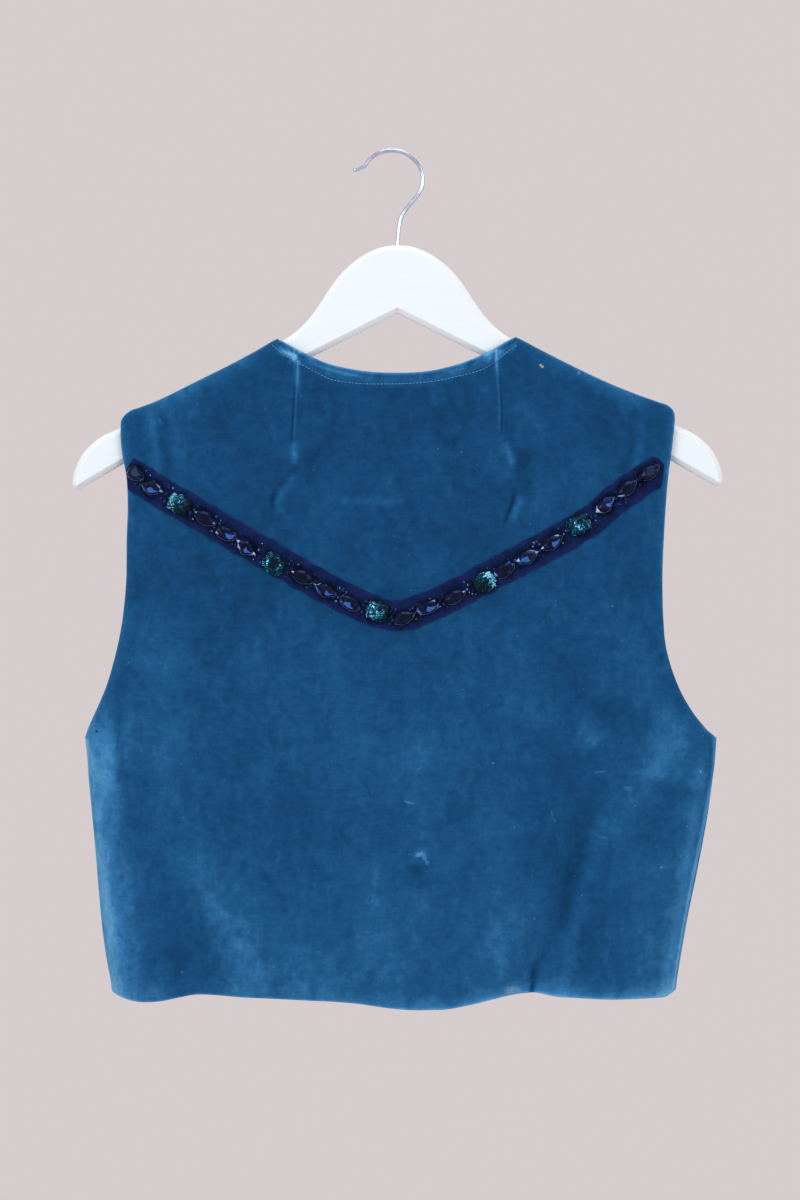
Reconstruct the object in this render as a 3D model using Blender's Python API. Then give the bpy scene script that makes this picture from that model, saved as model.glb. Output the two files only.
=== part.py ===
"""Cropped velvet vest, hanging on a flat wooden hanger.

The back of the vest faces -Y and its open front faces +Y. The origin is the
inside of the hook's bend, where a rail would hold the hanger. The tables are in
millimetres and the meshes in metres.
"""

import math

import bmesh
import bpy
import numpy as np
from mathutils import Vector
from mathutils.bvhtree import BVHTree

MM = 0.001

# Cloth
CLOTH = 2.0
SEAM = 0.3
SIDE_COLUMNS = 16
COLUMN_POWER = 1.5
NECK_COLUMN = 10
ARMPIT_Z = -402.0
HEM_Z = -580.0
SECTION_POWER = 2.6
TURN_POINTS = 6
FILL_POWER = 1.6
ARMHOLE_TURN = 0.72
ARMHOLE_BOW = 2.0
EDGE_POWER = 5
UNDERARM_REACH = 4
UNDERARM_PASSES = 6
UNDERARM_HOLD = 3.0

# Over the bar
WRAP_DEPTH = 9.6
WRAP_DROP = 9.0
WRAP_POWER = 2.3
SHOULDER_LEAN = 0.47
NECK_ROWS = 4
SHOULDER_DROPS = (0.0, 0.35, 1.6, 4.6, 9.6, 18, 31, 47, 66, 88, 112, 137, 162, 184, 201, 214, 224)
BODY_STEPS = (0.12, 0.26, 0.41, 0.56, 0.71, 0.85, 0.95, 1.0)

# Shoulder line from the neck to the tip: x, z
LEFT_SHOULDER = ((-82.9, -128.0), (-109.3, -142.6), (-137.4, -156.7), (-162.0, -169.0), (-184.0, -177.6))
RIGHT_SHOULDER = ((81.5, -126.8), (100.1, -136.2), (124.6, -148.6), (152.7, -161.4), (186.4, -173.9))

# Back neck edge, left to right: x, z
BACK_NECK = (
    (-82.9, -128.0), (-77.0, -130.9), (-69.1, -135.5), (-54.0, -143.0), (-40.0, -147.3), (-20.0, -150.8),
    (0.0, -151.7), (20.0, -150.6), (38.0, -146.8), (51.0, -142.3), (68.9, -133.7), (77.4, -128.6),
    (81.5, -126.8))
NECK_FRACTIONS = (0.0, 0.016, 0.045, 0.2, 0.43, 0.71, 1.0)
NECK_STAND = (0.0, 6.6, 9.0, 10.4, 11.0, 11.3, 11.4)

# Armhole edge from the shoulder tip to the underarm: x, z
LEFT_ARMHOLE = (
    (-184.0, -177.6), (-188.4, -182.2), (-190.1, -188.5), (-189.0, -206.2), (-186.0, -223.6),
    (-185.1, -240.0), (-186.0, -272.9), (-186.2, -299.3), (-188.9, -325.4), (-191.6, -348.1),
    (-195.0, -360.5), (-202.0, -376.3), (-209.5, -388.7))
RIGHT_ARMHOLE = (
    (186.4, -173.9), (189.6, -178.0), (190.2, -184.0), (188.0, -206.0), (185.1, -229.1), (183.4, -255.2),
    (182.0, -281.4), (182.0, -307.9), (183.4, -334.4), (186.1, -351.6), (191.8, -367.4), (203.8, -388.0),
    (212.4, -396.6))

# Front neckline and centre edge, left side: x, z. The right side mirrors it.
FRONT_EDGE = (
    (-75.0, -143.0), (-60.5, -176.0), (-43.0, -218.0), (-25.0, -264.0), (-10.0, -307.0), (-3.2, -338.0))
CENTRE_GAP = 3.2
FRONT_COLUMNS = 12
FRONT_COLUMN_POWER = 1.35
FRONT_CORNER = 0.12

# Body sections: z, left x, right x, back depth, front depth, left seam y, right seam y
SECTIONS = (
    (-402.0, -215.9, 220.4, 26.0, 24.0, 3.5, -4.5),
    (-430.0, -212.8, 218.6, 27.0, 25.0, 4.0, -5.9),
    (-465.0, -208.8, 212.5, 28.5, 26.0, 4.0, -7.1),
    (-505.0, -206.0, 204.0, 29.0, 27.0, 4.0, -6.9),
    (-545.0, -202.0, 196.6, 28.5, 27.0, 4.0, -6.3),
    (-580.0, -195.8, 191.0, 27.0, 26.0, 4.0, -5.5))

# Hem of the back: x, z
BACK_HEM = (
    (-195.5, -577.0), (-186.0, -580.5), (-172.0, -582.0), (-158.6, -581.3), (-142.0, -577.6),
    (-125.0, -577.2), (-94.6, -578.8), (-60.0, -580.2), (-36.0, -581.1), (-18.9, -583.1), (3.0, -586.0),
    (28.6, -585.9), (54.0, -582.4), (70.0, -577.7), (90.2, -575.2), (106.0, -577.9), (144.0, -579.8),
    (182.7, -579.6), (190.0, -576.5))
FRONT_HEM_Z = -576.0

# Folds of the back: x and z at the start, x at the hem, half width, height towards -Y at the hem
FOLD_COLUMNS = 4.0
FOLDS = (
    (-186.0, -400.0, -177.0, 15.0, 4.0),
    (-152.0, -425.0, -138.0, 16.0, -6.0),
    (-30.0, -460.0, 16.0, 46.0, 5.0),
    (128.0, -440.0, 91.0, 15.0, -6.0),
    (168.0, -425.0, 150.0, 25.0, 4.0))

# Hanger board: half outline, x and z, above and below
BAR_THICKNESS = 12.0
BAR_ROUND = 4.6
BAR_ROUND_STEPS = 4
BAR_TILT = math.radians(0.3)
BAR_TOP = (
    (0.0, -63.6), (10.0, -64.7), (20.0, -68.5), (30.0, -74.9), (39.0, -83.2), (46.5, -93.0), (53.5, -103.8),
    (60.5, -113.4), (68.5, -121.6), (77.5, -128.0), (90.0, -134.7), (110.0, -145.5), (137.0, -159.0),
    (162.0, -171.9), (176.0, -179.6), (190.5, -188.2), (202.5, -193.6), (210.2, -199.4), (215.8, -205.2),
    (219.6, -211.7), (222.2, -218.7), (223.3, -225.0))
BAR_TIP = ((222.8, -228.6), (220.0, -230.2), (216.0, -228.4))
BAR_UNDER = (
    (204.0, -221.8), (189.0, -213.0), (140.0, -185.5), (95.0, -160.2), (62.0, -141.5), (30.0, -125.4),
    (0.0, -110.2))
SHANK_CLEAR = 0.3
DRILL_LENGTH = 80.0
DRILL_MIDDLE_Z = -85.0
DRILL_SIDES = 16

# Hook: centreline of the wire, x and z, from inside the board to the tip
WIRE = 3.0
HOOK_LINE = (
    (0.0, -103.5), (0.0, -84.0), (0.0, -66.0), (0.7, -54.3), (1.9, -46.4), (3.4, -42.6), (6.5, -37.8),
    (10.9, -32.6), (14.8, -27.4), (16.9, -22.8), (17.5, -17.6), (16.6, -12.4), (14.1, -7.4), (9.9, -3.2),
    (5.2, -0.1), (0.0, 1.5), (-5.4, 1.8), (-10.7, 0.9), (-14.6, -0.8), (-18.2, -3.3), (-20.7, -6.2),
    (-22.9, -8.9), (-26.2, -10.4), (-30.6, -12.1))
HOOK_STEPS = 3

# Beaded ribbon: centreline on the back, x and z
TRIM_LINE = (
    (-185.6, -218.6), (-157.9, -236.4), (-130.4, -252.2), (-104.2, -267.6), (-82.9, -280.2), (-60.2, -293.0),
    (-36.1, -305.6), (-17.5, -314.4), (0.6, -318.2), (18.9, -313.0), (48.5, -298.8), (77.4, -283.4),
    (109.0, -267.0), (132.4, -252.6), (147.6, -239.6), (166.8, -226.2), (183.0, -215.6))
TRIM_WIDTH = 20.5
TRIM_OFF = 0.62
TRIM_THICK = 1.0
TRIM_MARGIN = 1.6
TRIM_SPAN = 0.01
BEADS = 22
BEAD_SIDES = 8
FIRST_SQUARE = 2
SQUARE_EVERY = 4
# Bead kinds: half length, half width, outline power, height, table size
LONG_BEAD = (8.4, 4.5, 1.55, 4.4, 0.5)
SQUARE_BEAD = (8.8, 6.2, 5.0, 4.6, 0.66)
GIRDLE = 1.3

# Finishes: colour, roughness, metallic
FINISHES = {
    "velvet": ((0.012, 0.085, 0.215), 0.85, 0.0),
    "beaded_ribbon": ((0.012, 0.014, 0.075), 0.35, 0.0),
    "painted_wood": ((0.86, 0.88, 0.90), 0.4, 0.0),
    "chrome": ((0.72, 0.73, 0.76), 0.18, 1.0)}


def clear_scene():
    for item in list(bpy.data.objects):
        bpy.data.objects.remove(item, do_unlink=True)


def finish(name):
    colour, roughness, metallic = FINISHES[name]
    material = bpy.data.materials.new(name)
    material.use_nodes = True
    shader = material.node_tree.nodes["Principled BSDF"]
    shader.inputs["Base Color"].default_value = (*colour, 1.0)
    shader.inputs["Roughness"].default_value = roughness
    shader.inputs["Metallic"].default_value = metallic
    material.diffuse_color = (*colour, 1.0)
    return material


def add_object(name, points, faces, material, smooth_angle=50.0):
    """A named mesh object from points in millimetres."""
    mesh = bpy.data.meshes.new(name)
    mesh.from_pydata([tuple(point) for point in np.asarray(points) * MM], [], faces)
    mesh.update()
    mesh.materials.append(material)
    mesh.shade_smooth()
    mesh.set_sharp_from_angle(angle=math.radians(smooth_angle))
    item = bpy.data.objects.new(name, mesh)
    bpy.context.collection.objects.link(item)
    return item


def smooth_line(points, per_span=12):
    """A Catmull-Rom line through the points, closely sampled."""
    points = np.array(points, dtype=float)
    ends = np.vstack([2 * points[0] - points[1], points, 2 * points[-1] - points[-2]])
    line = []
    for before, start, stop, after in zip(ends, ends[1:], ends[2:], ends[3:]):
        for s in np.linspace(0.0, 1.0, per_span, endpoint=False):
            bend = (2 * before - 5 * start + 4 * stop - after) * s ** 2
            twist = (3 * start - before - 3 * stop + after) * s ** 3
            line.append(0.5 * (2 * start + (stop - before) * s + bend + twist))
    line.append(points[-1])
    return np.array(line)


def along(line, fractions):
    """The points at these fractions of a line's length."""
    steps = np.linalg.norm(np.diff(line, axis=0), axis=1)
    run = np.concatenate([[0.0], np.cumsum(steps)]) / steps.sum()
    return np.stack([np.interp(fractions, run, line[:, axis]) for axis in range(line.shape[1])], axis=1)


def section_at(z):
    """The body section's measures at a height."""
    table = np.array(SECTIONS)[::-1]
    return [float(np.interp(z, table[:, 0], table[:, column])) for column in range(1, table.shape[1])]


def section_curve(z, side, samples=700):
    """One side of the body's rounded section, from the left seam to the right."""
    left, right, back, front, left_seam, right_seam = section_at(z)
    half = (right - left) / 2.0
    depth = back if side == "back" else front
    out = -1.0 if side == "back" else 1.0
    turn = np.linspace(math.pi, 0.0, samples)
    across = np.sign(np.cos(turn)) * np.abs(np.cos(turn)) ** (2.0 / SECTION_POWER)
    away = out * depth * np.abs(np.sin(turn)) ** (2.0 / SECTION_POWER)
    curve = np.stack([(left + right) / 2.0 + half * across, away], axis=1)
    return trim_ends(curve, half, depth, out, (left_seam, right_seam))


def trim_ends(curve, half, depth, out, seams):
    """Cut the section where a seam is reached, or carry it round to a seam on the other side."""
    middle = len(curve) // 2
    pieces = []
    for part, seam in ((curve[:middle][::-1], seams[0]), (curve[middle:], seams[1])):
        reach = out * (seam + out * SEAM / 2.0)
        if reach > 0:
            keep = part[out * part[:, 1] > reach]
            end_x = np.interp(reach, out * part[::-1, 1], part[::-1, 0])
            part = np.vstack([keep, [[end_x, out * reach]]])
        else:
            steps = np.linspace(0.0, reach, TURN_POINTS)[1:]
            narrowing = 1.0 - (1.0 - (np.abs(steps) / depth) ** SECTION_POWER) ** (1.0 / SECTION_POWER)
            end = part[-1, 0]
            added = np.stack([end - math.copysign(half, end) * narrowing, out * steps], axis=1)
            part = np.vstack([part[:-1], added])
        pieces.append(part)
    return np.vstack([pieces[0][::-1], pieces[1]])


def back_fractions():
    """Column places across the back, closer together at the sides."""
    half = 0.5 * (np.arange(SIDE_COLUMNS + 1) / SIDE_COLUMNS) ** COLUMN_POWER
    return np.concatenate([half, 1.0 - half[-2::-1]])


def wrap(drop):
    """How far the cloth has come off the bar's top, as a share of the wrap's depth."""
    left_over = 1.0 - min(drop, WRAP_DROP) / WRAP_DROP
    return (1.0 - left_over ** WRAP_POWER) ** (1.0 / WRAP_POWER)


def armhole(points, seam_point, out):
    """The armhole edge in space: wrapped over the bar, then down to the side seam."""
    line = smooth_line(list(points) + [(seam_point[0], ARMPIT_Z)])
    steps = np.array(SHOULDER_DROPS) / SHOULDER_DROPS[-1]
    flat = along(line, steps)
    ease = np.clip((steps - ARMHOLE_TURN) / (1.0 - ARMHOLE_TURN), 0.0, 1.0) ** 2
    bow = WRAP_DEPTH + ARMHOLE_BOW * np.sin(math.pi * steps)
    stand = np.array([wrap(drop) for drop in SHOULDER_DROPS]) * bow
    away = out * stand * (1.0 - ease) + seam_point[1] * ease
    return np.stack([flat[:, 0], away, flat[:, 1]], axis=1)


def yoke(top, bottom, left, right, fractions, out):
    """Rows from the shoulder line down to the underarm, fitted to the edges on both sides."""
    rows = []
    for row, drop in enumerate(SHOULDER_DROPS):
        t = drop / SHOULDER_DROPS[-1]
        stand = np.abs(top[:, 1])
        shell = out * (stand + np.maximum(WRAP_DEPTH - stand, 0.0) * wrap(drop))
        loft = (1.0 - t) * top + t * bottom
        filled = 1.0 - (1.0 - t) ** FILL_POWER
        loft[:, 1] = (1.0 - filled) * shell + filled * bottom[:, 1]
        u = fractions[:, None]
        near_left = np.hstack([1.0 - u, (1.0 - u) ** EDGE_POWER, 1.0 - u])
        near_right = np.hstack([u, u ** EDGE_POWER, u])
        miss_left = left[row] - loft[0]
        miss_right = right[row] - loft[-1]
        rows.append(loft + near_left * miss_left + near_right * miss_right)
    return rows


def ease_underarm(grid, side_columns):
    """Round the bend at underarm height, away from the seams."""
    middle = len(SHOULDER_DROPS) - 1
    columns = np.arange(grid.shape[1])
    from_side = np.minimum.reduce([np.abs(columns - column) for column in side_columns])
    hold = np.clip(from_side / UNDERARM_HOLD, 0.0, 1.0)[None, :, None]
    for _ in range(UNDERARM_PASSES):
        band = slice(middle - UNDERARM_REACH, middle + UNDERARM_REACH + 1)
        above = grid[middle - UNDERARM_REACH - 1:middle + UNDERARM_REACH]
        below = grid[middle - UNDERARM_REACH + 1:middle + UNDERARM_REACH + 2]
        upper_gap = (grid[band] - above)[:, :, 2:]
        lower_gap = (below - grid[band])[:, :, 2:]
        share = upper_gap / (upper_gap + lower_gap)
        mean = above + share * (below - above)
        grid[band, :, :2] += 0.5 * hold * (mean - grid[band])[:, :, :2]
    return grid


def fold_height(x, z):
    """How far the folds push the back outwards at a point."""
    height = 0.0
    for start_x, start_z, hem_x, half_width, hem_height in FOLDS:
        grown = min(max((z - start_z) / (HEM_Z - start_z), 0.0), 1.0)
        centre = start_x + (hem_x - start_x) * grown
        height += hem_height * grown * math.exp(-((x - centre) / half_width) ** 2)
    return height


def back_grid():
    """The outer face of the back, row by row from the shoulders to the hem."""
    fractions = back_fractions()
    last = len(fractions) - 1
    bottom_line = section_curve(ARMPIT_Z, "back")
    bottom = along(bottom_line, fractions)
    bottom = np.stack([bottom[:, 0], bottom[:, 1], np.full(last + 1, ARMPIT_Z)], axis=1)
    neck = smooth_line(BACK_NECK)
    neck = neck[np.argsort(neck[:, 0])]
    shoulder_share = 1.0 - fractions[:NECK_COLUMN + 1] / fractions[NECK_COLUMN]
    left_tips = along(smooth_line(LEFT_SHOULDER), shoulder_share)
    right_tips = along(smooth_line(RIGHT_SHOULDER), shoulder_share)[::-1]
    top = np.zeros((last + 1, 3))
    top[:NECK_COLUMN + 1, [0, 2]] = left_tips
    top[last - NECK_COLUMN:, [0, 2]] = right_tips
    for step, (share, stand) in enumerate(zip(NECK_FRACTIONS, NECK_STAND)):
        sides = ((NECK_COLUMN + step, BACK_NECK[0][0]), (last - NECK_COLUMN - step, BACK_NECK[-1][0]))
        for column, end in sides:
            x = end * (1.0 - share)
            top[column] = (x, -stand, np.interp(x, neck[:, 0], neck[:, 1]))
    top[:NECK_COLUMN + 1, 1] = -SEAM / 2.0
    top[last - NECK_COLUMN:, 1] = -SEAM / 2.0
    left = armhole(LEFT_ARMHOLE, bottom[0], -1.0)
    right = armhole(RIGHT_ARMHOLE, bottom[-1], -1.0)
    rows = yoke(top, bottom, left, right, fractions, -1.0)
    rows[0][:, 1] = top[:, 1]
    hem = np.array(BACK_HEM)
    for step in BODY_STEPS:
        level = ARMPIT_Z + step * (HEM_Z - ARMPIT_Z)
        flat = along(section_curve(level, "back"), fractions)
        hem_z = np.interp(flat[:, 0], hem[:, 0], hem[:, 1])
        z = ARMPIT_Z + step * (hem_z - ARMPIT_Z)
        rows.append(np.stack([flat[:, 0], flat[:, 1], z], axis=1))
    grid = ease_underarm(np.array(rows), (0, last))
    for row in grid:
        for column in range(1, last):
            x, y, z = row[column]
            side = min(column, last - column) / FOLD_COLUMNS
            row[column, 1] -= fold_height(x, z) * min(side, 1.0)
    return grid


def front_grid(sign):
    """Left front where the sign is -1, right front where it is 1."""
    steps = np.arange(FRONT_COLUMNS + 1) / FRONT_COLUMNS
    fractions = steps ** FRONT_COLUMN_POWER
    shoulder = LEFT_SHOULDER if sign < 0 else RIGHT_SHOULDER
    hole = LEFT_ARMHOLE if sign < 0 else RIGHT_ARMHOLE
    edge = [shoulder[0]] + [(-sign * x, z) for x, z in FRONT_EDGE] + [(sign * CENTRE_GAP, ARMPIT_Z)]

    def half_section(z):
        line = section_curve(z, "front")
        line = line if sign < 0 else line[::-1]
        keep = line[sign * line[:, 0] > CENTRE_GAP]
        return along(np.vstack([keep, [[sign * CENTRE_GAP, keep[-1, 1]]]]), fractions)

    flat = half_section(ARMPIT_Z)
    bottom = np.stack([flat[:, 0], flat[:, 1], np.full(len(flat), ARMPIT_Z)], axis=1)
    tips = along(smooth_line(shoulder), 1.0 - fractions)
    top = np.stack([tips[:, 0], np.full(len(tips), SEAM / 2.0), tips[:, 1]], axis=1)
    outer_edge = armhole(hole, bottom[0], 1.0)
    flat_edge = along(smooth_line(edge), np.array(SHOULDER_DROPS) / SHOULDER_DROPS[-1])
    inner_edge = np.zeros((len(flat_edge), 3))
    inner_edge[:, [0, 2]] = flat_edge
    for row, drop in enumerate(SHOULDER_DROPS):
        t = drop / SHOULDER_DROPS[-1]
        filled = 1.0 - (1.0 - t) ** FILL_POWER
        inner_edge[row, 1] = (1.0 - filled) * WRAP_DEPTH * wrap(drop) + filled * bottom[-1, 1]
    rows = yoke(top, bottom, outer_edge, inner_edge, fractions, 1.0)
    rows[0][:, 1] = SEAM / 2.0
    for step in BODY_STEPS:
        level = ARMPIT_Z + step * (HEM_Z - ARMPIT_Z)
        flat = half_section(level)
        z = np.full(len(flat), ARMPIT_Z + step * (FRONT_HEM_Z - ARMPIT_Z))
        side_hem = BACK_HEM[0][1] if sign < 0 else BACK_HEM[-1][1]
        rise = (side_hem - FRONT_HEM_Z) * step * np.clip(1.0 - fractions / FRONT_CORNER, 0.0, 1.0)
        rows.append(np.stack([flat[:, 0], flat[:, 1], z + rise], axis=1))
    return ease_underarm(np.array(rows), (0,))


def grid_normals(grid, out):
    """Outward directions of a grid, not yet of unit length."""
    normals = np.cross(np.gradient(grid, axis=0), np.gradient(grid, axis=1))
    return normals * np.sign(np.sum(normals[:, :, 1] * out))


def neck_normals(grid, normals, columns):
    """Beside the neck points the cloth turns over the bar as the shoulder does."""
    for column in columns:
        for row in range(NECK_ROWS):
            x, y, _ = grid[row, column]
            share = min(abs(y) / WRAP_DEPTH, 1.0)
            up = (1.0 - share ** WRAP_POWER) ** ((WRAP_POWER - 1.0) / WRAP_POWER)
            lean = math.copysign(SHOULDER_LEAN, x)
            normals[row, column] = (lean * up, -share ** (WRAP_POWER - 1.0), up * math.sqrt(1.0 - lean ** 2))


def settle_normals(normals, shoulder_columns, seam_columns):
    """Level with the seam plane along the shoulder and side seams, and of unit length."""
    underarm = len(SHOULDER_DROPS) - 1
    normals[0, shoulder_columns, 1] = 0.0
    for column in seam_columns:
        normals[underarm:, column, 1] = 0.0
    return normals / np.linalg.norm(normals, axis=2, keepdims=True)


def cloth_wall(name, grid, normals, material):
    """A closed wall: the outer grid, the same grid moved in, and the rim between them."""
    rows, columns = grid.shape[:2]
    inner = grid - CLOTH * normals
    points = np.vstack([grid.reshape(-1, 3), inner.reshape(-1, 3)])
    count = rows * columns

    def at(row, column, layer=0):
        return layer * count + row * columns + column

    faces = []
    for row in range(rows - 1):
        for column in range(columns - 1):
            here, below = at(row, column), at(row + 1, column)
            across, beyond = at(row, column + 1), at(row + 1, column + 1)
            for face in ([here, below, beyond], [here, beyond, across]):
                faces.append(face)
                faces.append([count + corner for corner in reversed(face)])
    rim = [(0, column) for column in range(columns)]
    rim += [(row, columns - 1) for row in range(1, rows)]
    rim += [(rows - 1, column) for column in range(columns - 2, -1, -1)]
    rim += [(row, 0) for row in range(rows - 2, 0, -1)]
    for here, there in zip(rim, rim[1:] + rim[:1]):
        faces.append([at(*here), at(*there), at(*there, 1), at(*here, 1)])
    corners = points[faces[0]]
    direction = np.cross(corners[1] - corners[0], corners[2] - corners[0])
    if np.dot(direction, normals[0, 0]) < 0:
        faces = [face[::-1] for face in faces]
    return add_object(name, points, faces, material)


def make_back(material):
    grid = back_grid()
    last = grid.shape[1] - 1
    normals = grid_normals(grid, -1.0)
    beside = [NECK_COLUMN + step for step in range(4)]
    neck_normals(grid, normals, beside + [last - column for column in beside])
    shoulders = list(range(NECK_COLUMN + 1)) + list(range(last - NECK_COLUMN, last + 1))
    normals = settle_normals(normals, shoulders, (0, last))
    return cloth_wall("back_panel", grid, normals, material)


def make_front(name, sign, material):
    grid = front_grid(sign)
    normals = grid_normals(grid, 1.0)
    normals = settle_normals(normals, list(range(grid.shape[1])), (0,))
    return cloth_wall(name, grid, normals, material)


def board_outline():
    """The board's outline, clockwise from the middle of its top."""
    top = smooth_line(BAR_TOP, per_span=2)
    right = [tuple(point) for point in top] + list(BAR_TIP) + list(BAR_UNDER)
    left = [(-x, z) for x, z in right[-2:0:-1]]
    outline = np.array(right + left)
    turned = outline.copy()
    turned[:, 1] += np.tan(BAR_TILT) * outline[:, 0]
    return turned


def inset(outline, distance):
    """The outline moved inwards, its corners mitred."""
    before = outline - np.roll(outline, 1, axis=0)
    after = np.roll(outline, -1, axis=0) - outline
    before /= np.linalg.norm(before, axis=1, keepdims=True)
    after /= np.linalg.norm(after, axis=1, keepdims=True)
    side_before = np.stack([before[:, 1], -before[:, 0]], axis=1)
    side_after = np.stack([after[:, 1], -after[:, 0]], axis=1)
    mitre = side_before + side_after
    mitre /= np.sum(mitre * side_before, axis=1, keepdims=True)
    return outline + distance * mitre


def make_bar(material):
    """A board with rounded edges and a bore for the hook's shank."""
    outline = board_outline()
    half = BAR_THICKNESS / 2.0
    rings = []
    for turn in np.linspace(0.0, math.pi / 2.0, BAR_ROUND_STEPS):
        rings.append((-half + BAR_ROUND * (1.0 - math.sin(turn)), BAR_ROUND * (1.0 - math.cos(turn))))
    rings = rings[::-1] + [(-y, amount) for y, amount in rings]
    count = len(outline)
    points = []
    for y, amount in rings:
        for x, z in inset(outline, amount):
            points.append((x, y, z))
    faces = [list(range(count))[::-1]]
    for ring in range(len(rings) - 1):
        for step in range(count):
            ahead = (step + 1) % count
            low, high = ring * count, (ring + 1) * count
            faces.append([low + step, low + ahead, high + ahead, high + step])
    faces.append([(len(rings) - 1) * count + step for step in range(count)])
    bar = add_object("hanger_bar", points, faces, material)
    work = bmesh.new()
    work.from_mesh(bar.data)
    bmesh.ops.triangulate(work, faces=work.faces)
    work.to_mesh(bar.data)
    work.free()
    bpy.ops.mesh.primitive_cylinder_add(
        vertices=DRILL_SIDES, radius=(WIRE / 2.0 + SHANK_CLEAR) * MM, depth=DRILL_LENGTH * MM,
        location=(0.0, 0.0, DRILL_MIDDLE_Z * MM))
    cutter = bpy.context.active_object
    cutter.name = "shank_drill"
    cutter.hide_render = True
    cutter.display_type = "WIRE"
    hole = bar.modifiers.new("shank_hole", "BOOLEAN")
    hole.operation = "DIFFERENCE"
    hole.object = cutter
    return bar


def make_hook(material):
    """A round wire along the hook's line."""
    line = along(smooth_line(HOOK_LINE), np.linspace(0.0, 1.0, HOOK_STEPS * len(HOOK_LINE)))
    data = bpy.data.curves.new("hanger_hook", "CURVE")
    data.dimensions = "3D"
    spline = data.splines.new("POLY")
    spline.points.add(len(line) - 1)
    for point, (x, z) in zip(spline.points, line):
        point.co = (x * MM, 0.0, z * MM, 1.0)
    data.bevel_depth = WIRE / 2.0 * MM
    data.bevel_resolution = 2
    data.use_fill_caps = True
    data.materials.append(material)
    hook = bpy.data.objects.new("hanger_hook", data)
    bpy.context.collection.objects.link(hook)
    return hook


def surface_finder(item):
    """A function that gives the point and outward direction of the cloth behind (x, z)."""
    mesh = item.data
    spots = [vertex.co for vertex in mesh.vertices]
    tree = BVHTree.FromPolygons(spots, [face.vertices for face in mesh.polygons])

    def find(x, z):
        hit, normal, _, _ = tree.ray_cast(Vector((x * MM, -1.0, z * MM)), Vector((0.0, 1.0, 0.0)))
        return np.array(hit) / MM, np.array(normal)

    return find


def trim_frame(line, fraction):
    """A point of the ribbon's centreline with its direction and its crosswise direction."""
    before, after = max(fraction - TRIM_SPAN, 0.0), min(fraction + TRIM_SPAN, 1.0)
    here, before, after = along(line, [fraction, before, after])
    ahead = (after - before) / np.linalg.norm(after - before)
    return here, ahead, np.array([-ahead[1], ahead[0]])


def rounded(cosine, length, power):
    """One coordinate of a superellipse."""
    if abs(cosine) < 1e-9:
        return 0.0
    return length * math.copysign(abs(cosine) ** (2.0 / power), cosine)


def bead_rings(kind):
    """A faceted bead's foot, girdle and table in its own frame: along, across, height."""
    length, width, power, height, table = kind
    turns = np.arange(BEAD_SIDES) * 2.0 * math.pi / BEAD_SIDES
    rings = []
    for size, level in ((1.0, 0.0), (1.0, GIRDLE), (table, height)):
        ring = []
        for turn in turns:
            run = rounded(math.cos(turn), size * length, power)
            side = rounded(math.sin(turn), size * width, power)
            ring.append((run, side, level))
        rings.append(ring)
    return rings


def make_trim(back, material):
    """The ribbon as one strip of cells, each with a faceted bead raised in its outer points."""
    line = smooth_line(TRIM_LINE)
    find = surface_finder(back)
    half = TRIM_WIDTH / 2.0
    edges = [np.array(table)[::-1] for table in (LEFT_ARMHOLE, RIGHT_ARMHOLE)]
    points = []
    faces = []

    def put(x, z, height):
        low, high = (np.interp(z, edge[:, 1], edge[:, 0]) for edge in edges)
        spot, normal = find(min(max(x, low + TRIM_MARGIN), high - TRIM_MARGIN), z)
        points.append(spot + normal * (TRIM_OFF + height))
        return len(points) - 1

    def crossing(fraction, height, sides=(-1.0, 0.0, 1.0)):
        here, _, sideways = trim_frame(line, fraction)
        return [put(*(here + sideways * half * side), height) for side in sides]

    cell_edges = [(crossing(i / BEADS, TRIM_THICK), crossing(i / BEADS, 0.0)) for i in range(BEADS + 1)]
    for i in range(BEADS):
        square = i % SQUARE_EVERY == FIRST_SQUARE
        middle = (i + 0.5) / BEADS
        here, ahead, sideways = trim_frame(line, middle)
        (start, start_low), (stop, stop_low) = cell_edges[i], cell_edges[i + 1]
        mid = crossing(middle, TRIM_THICK, (-1.0, 1.0))
        mid_low = crossing(middle, 0.0, (-1.0, 1.0))
        border = [stop[1], stop[2], mid[1], start[2], start[1], start[0], mid[0], stop[0]]
        border_low = [
            stop_low[1], stop_low[2], mid_low[1], start_low[2],
            start_low[1], start_low[0], mid_low[0], stop_low[0]]
        rings = [border]
        for ring in bead_rings(SQUARE_BEAD if square else LONG_BEAD):
            rings.append([put(*(here + ahead * run + sideways * side), TRIM_THICK + height)
                          for run, side, height in ring])
        for low, high in zip(rings, rings[1:]):
            for step in range(BEAD_SIDES):
                following = (step + 1) % BEAD_SIDES
                faces.append([low[step], low[following], high[following], high[step]])
        faces.append(rings[-1])
        under = put(*here, 0.0)
        for step in range(BEAD_SIDES):
            faces.append([border_low[(step + 1) % BEAD_SIDES], border_low[step], under])
        for near, far in ((1, 2), (2, 3), (5, 6), (6, 7)):
            faces.append([border[far], border[near], border_low[near], border_low[far]])
    (first, first_low), (final, final_low) = cell_edges[0], cell_edges[-1]
    for step in (0, 1):
        faces.append([first[step + 1], first[step], first_low[step], first_low[step + 1]][::-1])
        faces.append([final[step], final[step + 1], final_low[step + 1], final_low[step]][::-1])
    return add_object("bead_trim", points, faces, material, smooth_angle=12.0)


def main():
    clear_scene()
    velvet = finish("velvet")
    back = make_back(velvet)
    make_front("front_left", -1.0, velvet)
    make_front("front_right", 1.0, velvet)
    make_trim(back, finish("beaded_ribbon"))
    make_bar(finish("painted_wood"))
    make_hook(finish("chrome"))


main()
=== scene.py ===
"""The looks of a cropped velvet vest on a flat wooden hanger.

Tables are in millimetres and turned to metres where a mesh is made. The back of
the vest faces -Y, and the origin is the inside of the hook's bend.
"""

import math
import random

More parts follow.
